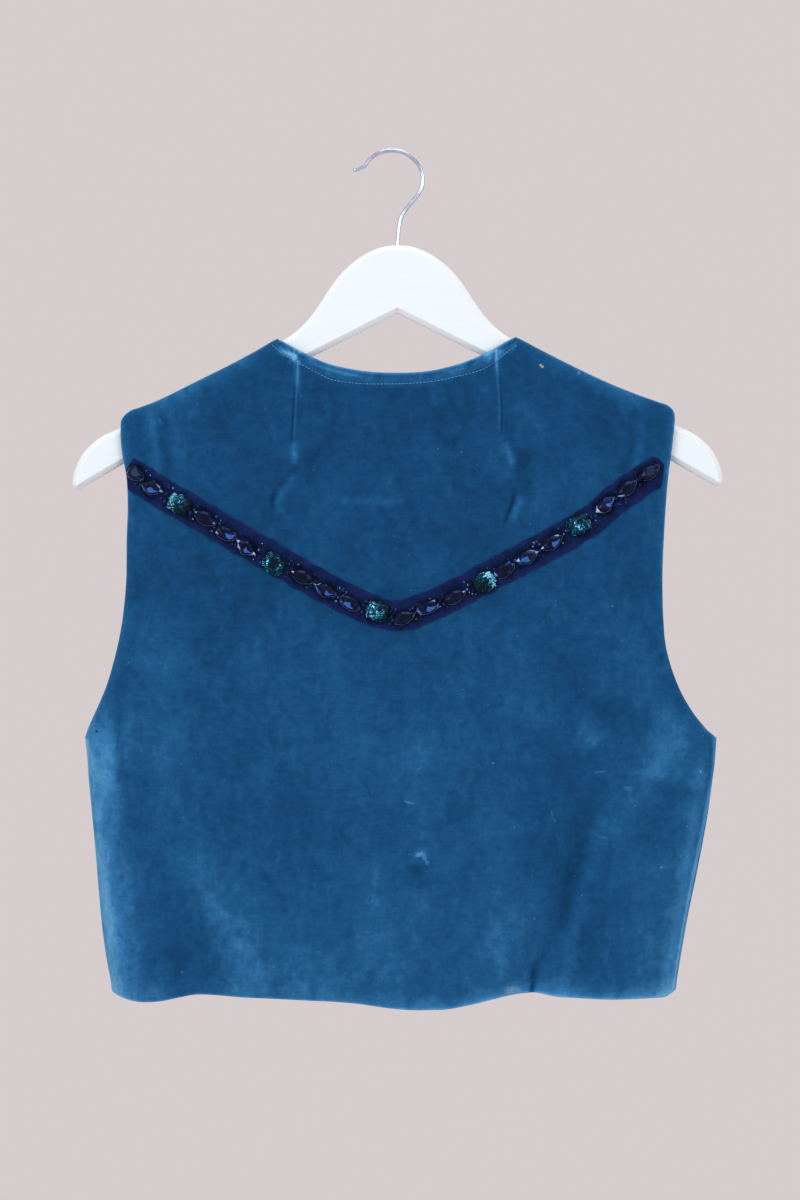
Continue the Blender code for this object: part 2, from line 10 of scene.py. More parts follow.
import bmesh
import bpy
import numpy as np
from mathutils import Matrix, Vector, noise
from mathutils.bvhtree import BVHTree


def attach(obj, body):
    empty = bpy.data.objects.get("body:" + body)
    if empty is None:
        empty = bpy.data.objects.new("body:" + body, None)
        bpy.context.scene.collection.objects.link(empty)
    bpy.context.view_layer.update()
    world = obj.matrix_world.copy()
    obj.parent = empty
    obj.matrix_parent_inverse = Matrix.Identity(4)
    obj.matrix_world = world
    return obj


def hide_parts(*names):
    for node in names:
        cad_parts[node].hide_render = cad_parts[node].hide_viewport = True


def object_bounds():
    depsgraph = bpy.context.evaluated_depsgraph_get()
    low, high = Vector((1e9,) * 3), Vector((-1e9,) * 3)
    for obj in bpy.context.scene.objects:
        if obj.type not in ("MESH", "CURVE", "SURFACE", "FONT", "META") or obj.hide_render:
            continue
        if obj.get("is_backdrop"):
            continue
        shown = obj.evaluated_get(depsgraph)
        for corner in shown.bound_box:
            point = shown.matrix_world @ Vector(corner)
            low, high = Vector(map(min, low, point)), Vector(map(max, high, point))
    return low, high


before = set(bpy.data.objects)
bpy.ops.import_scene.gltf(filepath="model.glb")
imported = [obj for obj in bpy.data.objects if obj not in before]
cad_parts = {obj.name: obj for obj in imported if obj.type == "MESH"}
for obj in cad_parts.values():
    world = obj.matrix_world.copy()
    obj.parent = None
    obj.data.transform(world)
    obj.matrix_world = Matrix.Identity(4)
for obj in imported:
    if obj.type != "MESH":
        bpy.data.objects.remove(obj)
cad_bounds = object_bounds()

MM = 0.001

# Cloth, as its solids are cut
CLOTH = 2.0
SEAM = 0.3
SIDE_COLUMNS = 16
NECK_COLUMN = 10
ARMPIT_Z = -402.0
HEM_Z = -580.0
SECTION_POWER = 2.6
TURN_POINTS = 6
FILL_POWER = 1.6
ARMHOLE_TURN = 0.72
UNDERARM_REACH = 4
UNDERARM_PASSES = 6

# Over the bar
WRAP_DEPTH = 9.6
WRAP_DROP = 9.0
WRAP_POWER = 2.3
SHOULDER_LEAN = 0.47
# Rows and columns beside a neck point that turn over the bar
NECK_TURN = 4
SHOULDER_DROPS = (0.0, 0.35, 1.6, 4.6, 9.6, 18, 31, 47, 66, 88, 112, 137, 162, 184, 201, 214, 224)
BODY_STEPS = (0.12, 0.26, 0.41, 0.56, 0.71, 0.85, 0.95, 1.0)
UNDERARM_ROW = len(SHOULDER_DROPS) - 1

# Fit of the coarse grids: crowding of the columns to the sides, puff at the armholes, how closely an
# edge is held, columns kept hard at the sides, and the share of a front where its hem rises
BACK_CROWDING = 1.5
FRONT_CROWDING = 1.35
ARMHOLE_PUFF = 2.0
EDGE_HOLD = 5
HELD_COLUMNS = 3.0
HEM_RISE_END = 0.12

# Shoulder line from the neck to the tip: x, z
LEFT_SHOULDER = ((-82.9, -128), (-109.3, -142.6), (-137.4, -156.7), (-162, -169), (-184, -177.6))
RIGHT_SHOULDER = ((81.5, -126.8), (100.1, -136.2), (124.6, -148.6), (152.7, -161.4), (186.4, -173.9))

# Back neck edge, left to right: x, z
BACK_NECK = (
    (-82.9, -128), (-77, -130.9), (-69.1, -135.5), (-54, -143), (-40, -147.3), (-20, -150.8),
    (0, -151.7), (20, -150.6), (38, -146.8), (51, -142.3), (68.9, -133.7), (77.4, -128.6),
    (81.5, -126.8))
NECK_FRACTIONS = (0.0, 0.016, 0.045, 0.2, 0.43, 0.71, 1.0)
NECK_STAND = (0.0, 6.6, 9.0, 10.4, 11.0, 11.3, 11.4)

# Armhole edge from the shoulder tip to the underarm: x, z
LEFT_ARMHOLE = (
    (-184, -177.6), (-188.4, -182.2), (-190.1, -188.5), (-189, -206.2), (-186, -223.6), (-185.1, -240),
    (-186, -272.9), (-186.2, -299.3), (-188.9, -325.4), (-191.6, -348.1), (-195, -360.5), (-202, -376.3),
    (-209.5, -388.7))
RIGHT_ARMHOLE = (
    (186.4, -173.9), (189.6, -178), (190.2, -184), (188, -206), (185.1, -229.1), (183.4, -255.2),
    (182, -281.4), (182, -307.9), (183.4, -334.4), (186.1, -351.6), (191.8, -367.4), (203.8, -388),
    (212.4, -396.6))

# Front neckline and centre edge, left side: x, z. The right side mirrors it.
FRONT_EDGE = ((-75, -143), (-60.5, -176), (-43, -218), (-25, -264), (-10, -307), (-3.2, -338))
CENTRE_GAP = 3.2
FRONT_COLUMNS = 12

# Body sections: z, left x, right x, back depth, front depth, left seam y, right seam y
SECTIONS = (
    (-402, -215.9, 220.4, 26, 24, 3.5, -4.5),
    (-430, -212.8, 218.6, 27, 25, 4, -5.9),
    (-465, -208.8, 212.5, 28.5, 26, 4, -7.1),
    (-505, -206, 204, 29, 27, 4, -6.9),
    (-545, -202, 196.6, 28.5, 27, 4, -6.3),
    (-580, -195.8, 191, 27, 26, 4, -5.5))

# Hem of the back: x, z
BACK_HEM = (
    (-195.5, -577), (-186, -580.5), (-172, -582), (-158.6, -581.3), (-142, -577.6), (-125, -577.2),
    (-94.6, -578.8), (-60, -580.2), (-36, -581.1), (-18.9, -583.1), (3, -586), (28.6, -585.9),
    (54, -582.4), (70, -577.7), (90.2, -575.2), (106, -577.9), (144, -579.8), (182.7, -579.6),
    (190, -576.5))
FRONT_HEM_Z = -576.0

# Folds of the back: x and z at the start, x at the hem, half width, height towards -Y at the hem
FOLDS = (
    (-186, -400, -177, 15, 4),
    (-152, -425, -138, 16, -6),
    (-30, -460, 16, 46, 5),
    (128, -440, 91, 15, -6),
    (168, -425, 150, 25, 4))

# Fine cloth: spacing of its points, places beside a border, rows of the yoke, columns over a dart
SPACING = 2.6
BORDER_STEPS = (0.0, 0.12, 0.35, 0.7, 1.1, 1.8)
TOP_ROWS = (
    0, 0.04, 0.1, 0.2, 0.33, 0.5, 0.72, 1, 1.2, 1.45, 1.7, 2, 2.25, 2.5, 2.75, 3, 3.33, 3.66, 4,
    4.33, 4.66, 5)
DART_COLUMNS = (12.2, 13.0)
DART_SPACING = 0.055
# From a seam to whole creases, from a border to the whole surface, and columns to whole folds
SETTLED = 14.0
CALM_BORDER = 1.5
FOLD_COLUMNS = 4.0
# A distance beyond everything
FAR = 1000.0
# Rolls of the turned edges, all round and along a front's edge: height, place, width
EDGE_ROLL = (0.35, 3.0, 2.0)
FRONT_TURN = (0.3, 9.0, 1.5)
# Uneven waves: size across, size down, height, and a seed for each
WAVES = ((34, 58, 0.8), (15, 19, 0.35))
BACK_SEEDS = (3, 8)
FRONT_SEEDS = (21, 27)
# Rounded hem corner of a front beside its seam: width, height, rise
CORNER = (6.0, 16.0, 3.0)

# Creases of the back: half width, height (troughs below zero), then points x, z
BACK_CREASES = (
    (5, -1.3, (70.9, -196), (73, -204), (78, -214), (82, -226)),
    (3.2, -1.1, (84, -228), (79.7, -239.4), (74.2, -251.1), (71, -262)),
    (6, 0.9, (93, -222), (89, -238), (83, -254)),
    (4, 0.8, (-66, -197), (-67, -206), (-72, -220)),
    (4.2, -1, (-90, -214), (-86, -226), (-79.5, -244.9), (-78, -254)),
    (3.6, -0.7, (-98, -222), (-97, -238), (-90, -256)),
    (6, 0.8, (-74, -228), (-69, -246), (-60, -262)),
    (4, -0.7, (-52, -240.5), (-22, -239.6), (6, -241.5)),
    (7.5, -1.3, (-178, -182), (-175, -204), (-170, -226)),
    (6.5, 1.1, (-164, -180), (-161, -206), (-158, -228)),
    (7, -0.9, (-150, -186), (-146, -210), (-141, -236)),
    (8, 1.2, (168, -186), (166, -206), (160, -226)),
    (7, -1.1, (152, -182), (149, -204), (142, -232)),
    (9, -1.2, (-176, -258), (-172, -300), (-178, -346)),
    (11, 1.4, (-156, -262), (-150, -306), (-158, -356), (-172, -392)),
    (10, -1.1, (172, -250), (165, -296), (168, -348), (182, -386)),
    (12, 1.3, (148, -272), (141, -318), (149, -372), (160, -418)),
    (10, -1.2, (-196, -402), (-176, -420), (-160, -446), (-152, -486)),
    (9, 1.2, (-176, -442), (-158, -480), (-137, -518), (-113, -548), (-100, -590)),
    (8, -1.1, (-186, -470), (-175, -520), (-164, -556), (-158, -592)),
    (13, -1.3, (-96, -330), (-104, -392), (-98, -462), (-84, -520)),
    (15, 1.2, (-62, -352), (-70, -424), (-60, -500), (-48, -592)),
    (13, -1, (-8, -346), (-16, -412), (-8, -470)),
    (14, 1, (38, -332), (46, -398), (41, -470), (52, -540)),
    (12, -1.1, (84, -306), (92, -372), (88, -434)),
    (6, -1.6, (130.4, -440), (123.5, -474.7), (112.5, -516.7), (101.1, -544.9), (95, -562.8)),
    (2.6, -1.9, (103, -540), (97.5, -555), (93.9, -564), (92.6, -576), (93.4, -596)),
    (5, 1.3, (108, -536), (104, -556), (104, -596)),
    (8, -1.3, (192, -424), (176, -462), (166, -506), (161, -556)),
    (7, 1.1, (200, -440), (188, -486), (180, -540), (177, -592)))

# Creases of a front, on the left side: half width, height, then points x, z
FRONT_CREASES = (
    (7, -1.2, (-164, -186), (-158, -212), (-148, -240)),
    (8, 1.1, (-146, -178), (-139, -210), (-126, -244)),
    (9, -1.2, (-170, -262), (-164, -304), (-170, -350)),
    (10, 1.3, (-146, -270), (-140, -322), (-154, -380)),
    (8, -1.3, (-198, -400), (-172, -416), (-148, -440), (-136, -478)),
    (10, 1.3, (-180, -440), (-160, -490), (-150, -545), (-148, -592)),
    (11, -1.4, (-112, -400), (-118, -470), (-110, -530), (-104, -592)),
    (12, 1.3, (-82, -340), (-86, -420), (-78, -500), (-70, -592)),
    (9, -1.1, (-48, -330), (-46, -400), (-50, -470)),
    (10, 1.2, (-26, -420), (-22, -500), (-28, -592)),
    (6, -0.9, (-92, -196), (-86, -226), (-70, -262)))

# Darts: points x, z from the neck edge down, and the side where the painted light streak lies
DARTS = (
    (((-72.2, -140.4), (-69.7, -146.5), (-70.9, -172), (-72.4, -196.1), (-74.1, -205)), 1),
    (((69, -139), (70.3, -159.6), (71.3, -178.5), (70.9, -196.1)), -1))
# How a dart begins, in millimetres, and ends, as a share of its length; reach of its painted light
DART_HEAD = 3.0
DART_FOOT = 0.2
DART_REACH = 8.0
# Groove and puff: width, height
DART_GROOVE = (0.6, -0.8)
DART_PUFF = (5.0, 0.8)
# Painted light streak: place, width, strength, then its fading. Painted shade along the seam: width,
# strength, then its growth.
DART_HIGHLIGHT = (1.5, 0.8, 1.3)
STREAK_FADE = (1.25, 0.8)
DART_SEAM_SHADE = (0.6, 0.8)
SEAM_SHADE_GROWTH = (0.2, 1.8)

# Neck: the line of stitches, x, z
NECK_STITCHES = (
    (-86, -133), (-79.5, -138), (-71.5, -143.2), (-62.1, -148.3), (-50.6, -154.3), (-41.7, -157.6),
    (-25.1, -159.4), (-8.6, -159.7), (9.2, -159.2), (25.8, -157.6), (38.5, -155), (56.3, -150.5),
    (66, -145), (74, -138.6), (79.2, -134.6), (84.3, -132.1))
# Stitch: length, gap, radius, how deep it is sunk; dip under the line: width, depth
STITCH = (1.9, 0.55, 0.26, 0.05)
STITCH_DIP = (1.5, 0.3)
# Rings of a rod: place along it, share of its radius
ROD_RINGS = ((0.08, 0.7), (0.3, 1.0), (0.7, 1.0), (0.92, 0.7))
# Line of the turning, towards the shoulders alone: place, width, depth
NECK_RIM = (3.3, 0.9, 0.6)
# Its fading in towards the middle, and the painted shade along it
RIM_SIDES = (30.0, 0.5)
RIM_SHADE = 0.5
# Width of the turned band
NECK_BAND = 10.5
# How the fronts' side edges come to the back, so that no light shows through: height, place, width
SEAM_CLOSED = (0.33, 0.0, 2.0)

# Painted light and shade beside edges and seams: sheen on turned edges, highlights and shade at the seams,
# light along the shoulders and down the left side's turn, and a dark line below the neck's edge. Strength
# (dark below zero), place, width
EDGE_LIGHT = (1.3, 0, 1.3)
SEAM_LIGHT = ((1.9, 1.3, 1.3), (-0.6, 0, 0.5))
SIDE_LIGHT = (1.3, 0, 6)
SHOULDER_LIGHT = (SIDE_LIGHT, (0.4, 0, 14))
LEFT_TURN_LIGHT = (1.7, 4, 3.5)
NECK_SHADE = (-0.3, 2.8, 1.3)
# Fainter painted light behind an edge: strength at the open edges, at the neck, width
BEHIND_EDGE = 0.75
BEHIND_NECK = 0.35
BEHIND_WIDTH = 4.5
# Light of the whole turned band at the neck
NECK_LIGHT = 0.8
# Painted sheen along the hem: strength, width. Its duller part to the left: width, way across, and what it
# takes from the painted light behind the edge and from the hem's own
HEM_LIGHT = (0.85, 11.0)
DULL_HEM = (8.0, 150.0, 0.6, 0.45)
# The fronts' creases: share painted into the pile as light on their ridges and shade in their troughs, and
# the right front's shift
CREASE_SHADING = 0.45
FRONT_SHIFT = 7.0

# Lighter and darker pile with painted light and shade in it: the bright bands down the sides and the light
# ridges and dark lines of folds, creases and puckers are painted light and shade. Half width, strength (dark
# below zero), then points x, z
PILE_AND_PAINTED_SHADING = (
    (7, 0.8, (-184, -286), (-190, -330), (-200, -362), (-212, -396), (-210, -440), (-204, -490),
     (-198, -540), (-192, -620)),
    (18, 1.6, (-206, -370), (-204, -420), (-200, -458), (-194, -513), (-187, -572), (-183, -640)),
    (8, 0.6, (-207, -450), (-203, -500), (-197, -550), (-191, -620)),
    (12, 0.22, (-180, -440), (-172, -484), (-162, -545), (-152, -640)),
    (5, -0.4, (-154, -538), (-151, -560), (-148, -600)),
    (14, 0.55, (-160, -370), (-158, -418), (-150, -455), (-132, -498), (-108, -528), (-72, -540)),
    (22, 0.45, (-152, -470), (-140, -510), (-116, -546), (-96, -590)),
    (26, 0.4, (-130, -560), (-60, -562), (20, -560)),
    (60, 0.5, (-130, -540), (130, -540)),
    (16, 0.35, (88, -500), (110, -545), (120, -580)),
    (70, 0.35, (-130, -400), (130, -400)),
    (26, 0.65, (-168, -300), (-164, -350), (-180, -396), (-180, -430)),
    (22, 0.5, (150, -300), (160, -350), (172, -390)),
    (13, 0.7, (194, -366), (184, -402), (168, -430), (148, -460), (134, -484)),
    (22, 0.55, (206, -384), (192, -412), (186, -440)),
    (12, -0.35, (138, -366), (150, -380), (158, -392)),
    (14, 0.6, (198, -438), (188, -466), (182, -500)),
    (10, 0.9, (121, -396), (129, -400), (137, -408)),
    (8, 1.25, (211, -396), (206, -445), (200, -486), (193, -528), (186, -572), (184, -640)),
    (22, 0.7, (196, -470), (184, -530), (176, -640)),
    (5, 0.5, (-199, -364), (-198.5, -400), (-198, -446)),
    (2, -0.5, (-191, -376), (-190, -400), (-189.5, -436)),
    (24, 0.4, (166, -470), (160, -520), (160, -580)),
    (34, -0.3, (-60, -190), (0, -184), (60, -190)),
    (8, 0.7, (-178, -178), (-130, -156), (-88, -134)),
    (8, 0.6, (180, -176), (130, -152), (92, -134)),
    (5, 0.4, (77, -170), (92, -184), (105, -198)),
    (20, -0.3, (-140, -178), (-112, -186)),
    (2.4, 0.6, (-169, -176), (-167, -196), (-164, -222)),
    (2.6, -0.55, (-162, -178), (-160, -198), (-157, -224)),
    (3, 0.4, (-155, -174), (-152, -196), (-147, -222)),
    (2.6, 0.4, (170, -176), (168, -196), (162, -222)),
    (2.6, -0.4, (162, -172), (159, -196), (153, -226)),
    (4.2, -0.42, (131, -434), (127, -466), (117.5, -500), (109.5, -532), (100, -549), (93.5, -566),
     (92.5, -620)),
    (1.2, -2.4, (94.2, -556), (93.4, -566), (92.2, -577), (92.6, -600)),
    (6, 0.5, (142, -440), (134, -480), (124, -516), (116, -544), (110, -610)),
    (2.8, 1.1, (72.5, -198), (76.5, -208), (79.5, -218)),
    (5, -0.35, (87, -200), (89, -222), (84, -240)),
    (2.6, -0.45, (78.5, -198), (83.2, -211), (82.6, -222), (80.5, -233)),
    (1.3, -1.2, (80, -232), (78.6, -240), (76, -247), (71.5, -257)),
    (2.6, 1, (84, -235), (81.5, -245), (78, -255)),
    (2.8, 1.1, (-72.5, -198), (-70.3, -208), (-70, -217)),
    (5, -0.35, (-61, -198), (-59, -214), (-64, -232)),
    (2.6, -0.5, (-65.5, -205), (-68.5, -215), (-75, -223), (-81, -230), (-85.5, -239), (-84, -248)),
    (1.2, -0.8, (-83, -232), (-85.5, -239), (-84.5, -247)),
    (3, 0.8, (-69, -220), (-76, -230), (-81, -241), (-79, -252)),
    (1, 1.5, (-81, -136.5), (-75, -139), (-68, -141)),
    (0.8, 1.4, (-77, -133.5), (-72, -140), (-69.5, -147)),
    (0.8, 1.2, (-65, -135), (-70, -141), (-76, -147)),
    (2.2, 0.8, (-82, -133), (-76, -138), (-70, -141)),
    (1.4, 1.1, (-71.5, -137), (-69.6, -148), (-69.8, -164)),
    (1.1, 1.5, (-65, -140), (-54.7, -146.3), (-46.4, -149.2), (-36.1, -152), (-22, -154.6)),
    (1.3, 1.3, (59, -141), (65, -138), (72, -136)),
    (1.1, 1.3, (64.5, -133), (64, -139), (62, -146)),
    (1, 1.1, (64, -139), (57, -143), (49, -147)),
    (2, 0.9, (74, -134), (68.5, -141), (67.5, -154)),
    (1.1, 0.9, (50, -146), (40, -149.5), (28, -152.4)),
    (16, 0.55, (15, -392), (12, -440), (16, -480), (8, -530)),
    (9, 0.35, (-15, -470), (-14, -510), (-10, -560)),
    (8, -0.85, (10, -485), (14, -494), (20, -505)),
    (15, 0.45, (62, -440), (66, -510), (68, -580)),
    (3.6, 0.5, (11, -481), (17, -479.5), (19.5, -486)),
    (2.6, 0.6, (-48, -241), (-20, -239), (8, -241)))

# Small marks in the back's pile: x, z, half length, half width, degrees up from the run of +X, strength
MARKS = (
    (65, -418.3, 0.8, 0.7, 0, 1.8), (207.4, -425.2, 1, 0.8, 20, 1.6), (120.7, -496, 0.7, 0.6, 0, 1.5),
    (93.2, -524.3, 0.7, 0.6, 0, 1.3), (43.7, -206.4, 0.8, 0.7, 0, 1.6), (27.9, -204.3, 0.7, 0.6, 0, 1.6),
    (105.2, -453, 2.6, 0.7, -70, 0.9), (106.9, -457.4, 2.4, 0.7, -58, 0.8),
    (91.8, -495.3, 7.6, 0.6, 88, 0.5), (137.6, -424.5, 5, 0.8, 4, 0.9), (140, -469.2, 2.8, 0.7, -6, 0.9),
    (124.2, -152, 1.5, 1.1, 30, 1.2), (15, -480.5, 3.6, 1.6, 22, 1.25),
    (18.5, -482.8, 3.6, 1.5, -76, 0.9), (20.2, -486, 2, 1.4, 40, 1), (15.2, -483.6, 1.9, 1.1, -24, -0.8),
    (-15.6, -500, 13, 2, 84, 0.35), (-206.2, -397.4, 1.3, 0.7, -60, -2.2),
    (-146.9, -561.4, 1.5, 1.2, 0, 1.1), (146.2, -311.7, 0.7, 0.6, 0, 1.8),
    (179.9, -489.9, 0.8, 0.6, 0, 1.3), (7.6, -445.2, 4.4, 0.9, -16, 1.1),
    (-90.5, -176.8, 1.7, 0.6, -22, 1), (-162, -185.4, 3.2, 1.4, -58, 0.9),
    (-57.4, -218.8, 0.7, 0.6, 0, 1.3), (157, -436, 3.4, 1.6, -20, 0.7), (-120, -300, 1, 0.6, 40, 0.7),
    (34, -392, 0.8, 0.6, 0, 0.9))
MARK_WANDER = 0.0013
# Coloured spots: x, z, half length, half width, degrees, colour
SPOTS = (
    (98.7, -147.2, 1.9, 1, -35, (0.42, 0.46, 0.30)),
    (79, -574.2, 6.2, 4, -8, (0.15, 0.31, 0.50)))

# Hanger board: half outline, x and z, above and below
BAR_THICKNESS = 12.0
BAR_ROUND = 3.4
BAR_FLAT = 0.85
BAR_FACE = 1.06
BAR_TILT = math.radians(0.3)
UNDER_SPACING = 8.0
BAR_TOP = (
    (0, -63.6), (10, -64.7), (20, -68.5), (30, -74.9), (39, -83.2), (46.5, -93), (53.5, -103.8),
    (60.5, -113.4), (68.5, -121.6), (77.5, -128), (90, -134.7), (110, -145.5), (137, -159),
    (162, -171.9), (176, -179.6), (190.5, -188.2), (202.5, -193.6), (210.2, -199.4), (215.8, -205.2),
    (219.6, -211.7), (222.2, -218.7), (223.3, -225))
BAR_TIP = ((222.8, -228.6), (220, -230.2), (216, -228.4))
BAR_UNDER = (
    (204, -221.8), (189, -213), (140, -185.5), (95, -160.2), (62, -141.5), (30, -125.4),
    (0, -110.2))
# Holes: radius, depth, place
DRILLS = ((1.8, 80.0, (0.0, 0.0, -85.0)), (0.75, 5.0, (-0.4, -4.3, -108.6)))

# Hook: its bump (x, z, reach, share of the radius), and the wire's centreline, x and z, to the tip
WIRE = 3.0
WIRE_SIDES = 16
WIRE_STEPS = 150
WIRE_TIP = 0.9
WIRE_BUMP = (-6.5, 1.7, 1.3, 0.14)
HOOK_LINE = (
    (0, -103.5), (0, -84), (0, -66), (0.7, -54.3), (1.9, -46.4), (3.4, -42.6), (6.5, -37.8),
    (10.9, -32.6), (14.8, -27.4), (16.9, -22.8), (17.5, -17.6), (16.6, -12.4), (14.1, -7.4), (9.9, -3.2),
    (5.2, -0.1), (0, 1.5), (-5.4, 1.8), (-10.7, 0.9), (-14.6, -0.8), (-18.2, -3.3), (-20.7, -6.2),
    (-22.9, -8.9), (-26.2, -10.4), (-30.6, -12.1))

# Beaded ribbon: centreline on the back, x and z
TRIM_LINE = (
    (-185.6, -218.6), (-157.9, -236.4), (-130.4, -252.2), (-104.2, -267.6), (-82.9, -280.2), (-60.2, -293),
    (-36.1, -305.6), (-17.5, -314.4), (0.6, -318.2), (18.9, -313), (48.5, -298.8), (77.4, -283.4),
    (109, -267), (132.4, -252.6), (147.6, -239.6), (166.8, -226.2), (183, -215.6))
# Its width, height off the back, thickness, and how far it stays inside the armholes, left and right
TRIM_WIDTH = 20.5
TRIM_OFF = 0.62
TRIM_THICK = 1.0
TRIM_MARGIN = 1.6
RIBBON_SHORT = 4.4
# Its points: rows across, step along, length of the rounded right end
RIBBON_ROWS = 20
RIBBON_STEP = 1.3
RIBBON_END = 7.0
# Least height off the back, thickness of the net, and its wave: size along, size across, height
RIBBON_LOWEST = 0.25
RIBBON_THICK = 0.75
RIBBON_WAVE = (9.0, 2.0, 0.25)
RIBBON_SLACK = 0.12
# Thinning towards the rim: share, power
RIBBON_THINNING = (0.85, 10)
# Its uneven rim: how sharply it begins, lift, ruffle, sideways wander, seeds of the two sides
RIM_POWER = 6
RIM_LIFT = 0.35
RIM_RUFFLE = 0.5
RUFFLE_SIZE = 7.0
WANDER_SIZE = 8.0
RIM_WANDER = 1.3
RIM_SEEDS = (9.1, 1.7)
# Painted shadow round the beads: margin in millimetres, end and fade in shares of a bead's size
SHADE_MARGIN = 0.6
SHADE_END = 1.3
SHADE_FADE = 0.3

# Large beads: x, z, kind, turn from the ribbon's run in degrees
BEADS = (
    (-178.4, -221.4, "shield", 0), (-167.4, -231, "kite", 12), (-148.5, -242.5, "octagon", 4),
    (-131.1, -251.6, "navette", -2), (-117, -262, "barrel", 5), (-103, -272, "kite", -8),
    (-84.3, -283, "octagon", -6), (-64.6, -291.7, "navette", 3), (-48.6, -300.8, "kite", 4),
    (-32.2, -309.4, "barrel", -3), (-13.3, -315.4, "octagon", 3), (3.6, -319.6, "navette", 12),
    (20.3, -312.4, "barrel", -4), (38.6, -305.4, "navette", 2), (58.6, -295.8, "octagon", -4),
    (72.6, -287.2, "barrel", 6), (88.4, -278, "kite", -3), (104.9, -268.4, "navette", 4),
    (123.5, -256.3, "octagon", -6), (141.4, -242.6, "kite", -2), (156.2, -231.4, "navette", 5),
    (171.6, -220.2, "navette", 2))
# Kinds: half length, half width, outline power, sides, narrowing to the far end, height
BEAD_KINDS = {
    "shield": (6.8, 5.2, 2.4, 8, 0.25, 4.2),
    "kite": (8.8, 5.5, 1.25, 8, 0.2, 4.4),
    "navette": (9, 5.1, 1.5, 10, 0, 4.2),
    "barrel": (8.2, 4.9, 2.2, 10, 0, 4.3),
    "octagon": (8.6, 6.9, 3.4, 8, 0, 4.7)}
# Glitter of the octagons: way to the bright side in degrees from the run, swing, level at the centre
GLITTER = ((170, 0.36, 0.0), (-100, 0.10, -0.45), (-150, 0.16, 0.15), (10, 0.36, -0.1), (-60, 0.08, 0.0))
# Beads whose facets are painted with a blue reflection, counted from the left, and the ways these may face in
# degrees
FLASHING = (1, 4, 5, 8, 9, 12, 16, 17, 19)
FLASH_WAYS = (210.0, 320.0)
# Girdle: its height and the way of its part painted with a highlight, in radians. Spreads are cosines.
GIRDLE = 1.2
GIRDLE_LIGHT = 4.9
GIRDLE_SPREAD = 0.45
FLASH_SPREAD = 0.86
BEAD_SUNK = 0.2
# Places on the glass's colours; facet, foot, table and seed are the top of a random range. The lit girdle,
# the flashes, the bright table and the sparkles are painted highlights and reflections, and the ring is a
# faint painted highlight round the table.
TINTS = {
    "foot": 0.3, "girdle": 0.60, "lit": 0.735, "facet": 0.70, "flash": 0.87, "ring": 0.62,
    "table": 0.55, "bright table": 0.85, "seed": 0.88}
PAINTED_SPARKLES = (0.79, 0.84, 0.90, 0.94, 0.98)
# Chances of a painted sparkle at a bead's ends: plain beads, flashing beads
SPARKLE_CHANCES = (0.3, 0.6)

# Seed beads: ring and tube, faces round each, spread, reach, pitch and clearing from the large beads
SEED_SIZE = (0.72, 0.42)
SEED_AROUND = 10
SEED_ACROSS = 6
SEED_COUNTS = (6, 7, 8, 9)
SEED_TRIES = 60
SEED_SPREAD = 2.1
SEED_REACH = 6.2
SEED_PITCH = 2.1
SEED_CLEAR = 0.72
SEED_LIFT = 0.45
# Tints of the faces painted with a glint on each seed
PAINTED_SEED_GLINTS = (0.905, 0.915, 0.94, 0.98, 0.99, 0.99)

# Camera at the photograph's angle, and the floor: metres
CAMERA = (0.0017, -2.4, -0.3075)
FRAME_HEIGHT = 0.8256
FLOOR_Z = -0.93
FLOOR_RADIUS = 0.8
# Lights: name, place, target, size, power, colour
LIGHTS = (
    ("key_light", (-1.5, -1.9, 0.5), (0, 0, -0.35), 1.3, 18, (0.74, 0.92, 1)),
    ("fill_light", (1.4, -2.1, 0.1), (0, 0, -0.3), 1.5, 12.5, (0.74, 0.92, 1)),
    ("top_light", (0.1, -0.5, 1.4), (0, 0, -0.2), 1.2, 7, (0.90, 0.96, 1)),
    ("rear_light", (0.3, 2, 0.7), (0, 0, -0.3), 1.4, 9, (0.92, 0.96, 1)))

# Patches of the pile: scale per metre by axis, detail, amount
PILE_PATCHES = (
    ((12, 12, 8), 3, 1.4), ((46, 46, 30), 4, 1.35), ((150, 150, 105), 3, 1.45), ((420, 420, 100), 3, 0.35),
    ((90, 420, 420), 3, 0.85))
SPECK_SCALE = 110

# Colours, in linear light. In a row of colours each stands behind its place.
BACKGROUND = (0.672, 0.604, 0.610)
VELVET_COLOURS = (
    (0, 0.0026, 0.020, 0.058), (0.22, 0.0062, 0.045, 0.123), (0.36, 0.0085, 0.067, 0.178),
    (0.52, 0.0155, 0.103, 0.250), (0.74, 0.044, 0.208, 0.445), (1, 0.16, 0.44, 0.69))
RIBBON_COLOURS = (
    (0, 0.0012, 0.0026, 0.009), (0.25, 0.0032, 0.0100, 0.042), (0.5, 0.0056, 0.0170, 0.082),
    (0.75, 0.0095, 0.0190, 0.096), (1, 0.021, 0.025, 0.115))
# Above 0.70 the dark glass's colours paint highlights, blue reflections and sparkles
DARK_GLASS_COLOURS = (
    (0, 0.0012, 0.0022, 0.009), (0.25, 0.0026, 0.0036, 0.013), (0.42, 0.0022, 0.0048, 0.024),
    (0.58, 0.0070, 0.0090, 0.024), (0.66, 0.013, 0.017, 0.040), (0.70, 0.030, 0.035, 0.060),
    (0.755, 0.20, 0.23, 0.34), (0.79, 0.012, 0.060, 0.34), (0.87, 0.045, 0.17, 0.62),
    (0.92, 0.20, 0.40, 0.85), (0.98, 0.58, 0.72, 0.94))
GLITTER_COLOURS = (
    (0, 0.0015, 0.002, 0.004), (0.5, 0.003, 0.008, 0.014), (0.64, 0.003, 0.045, 0.07),
    (0.80, 0.005, 0.16, 0.28), (0.92, 0.014, 0.34, 0.54), (1, 0.30, 0.80, 0.98))
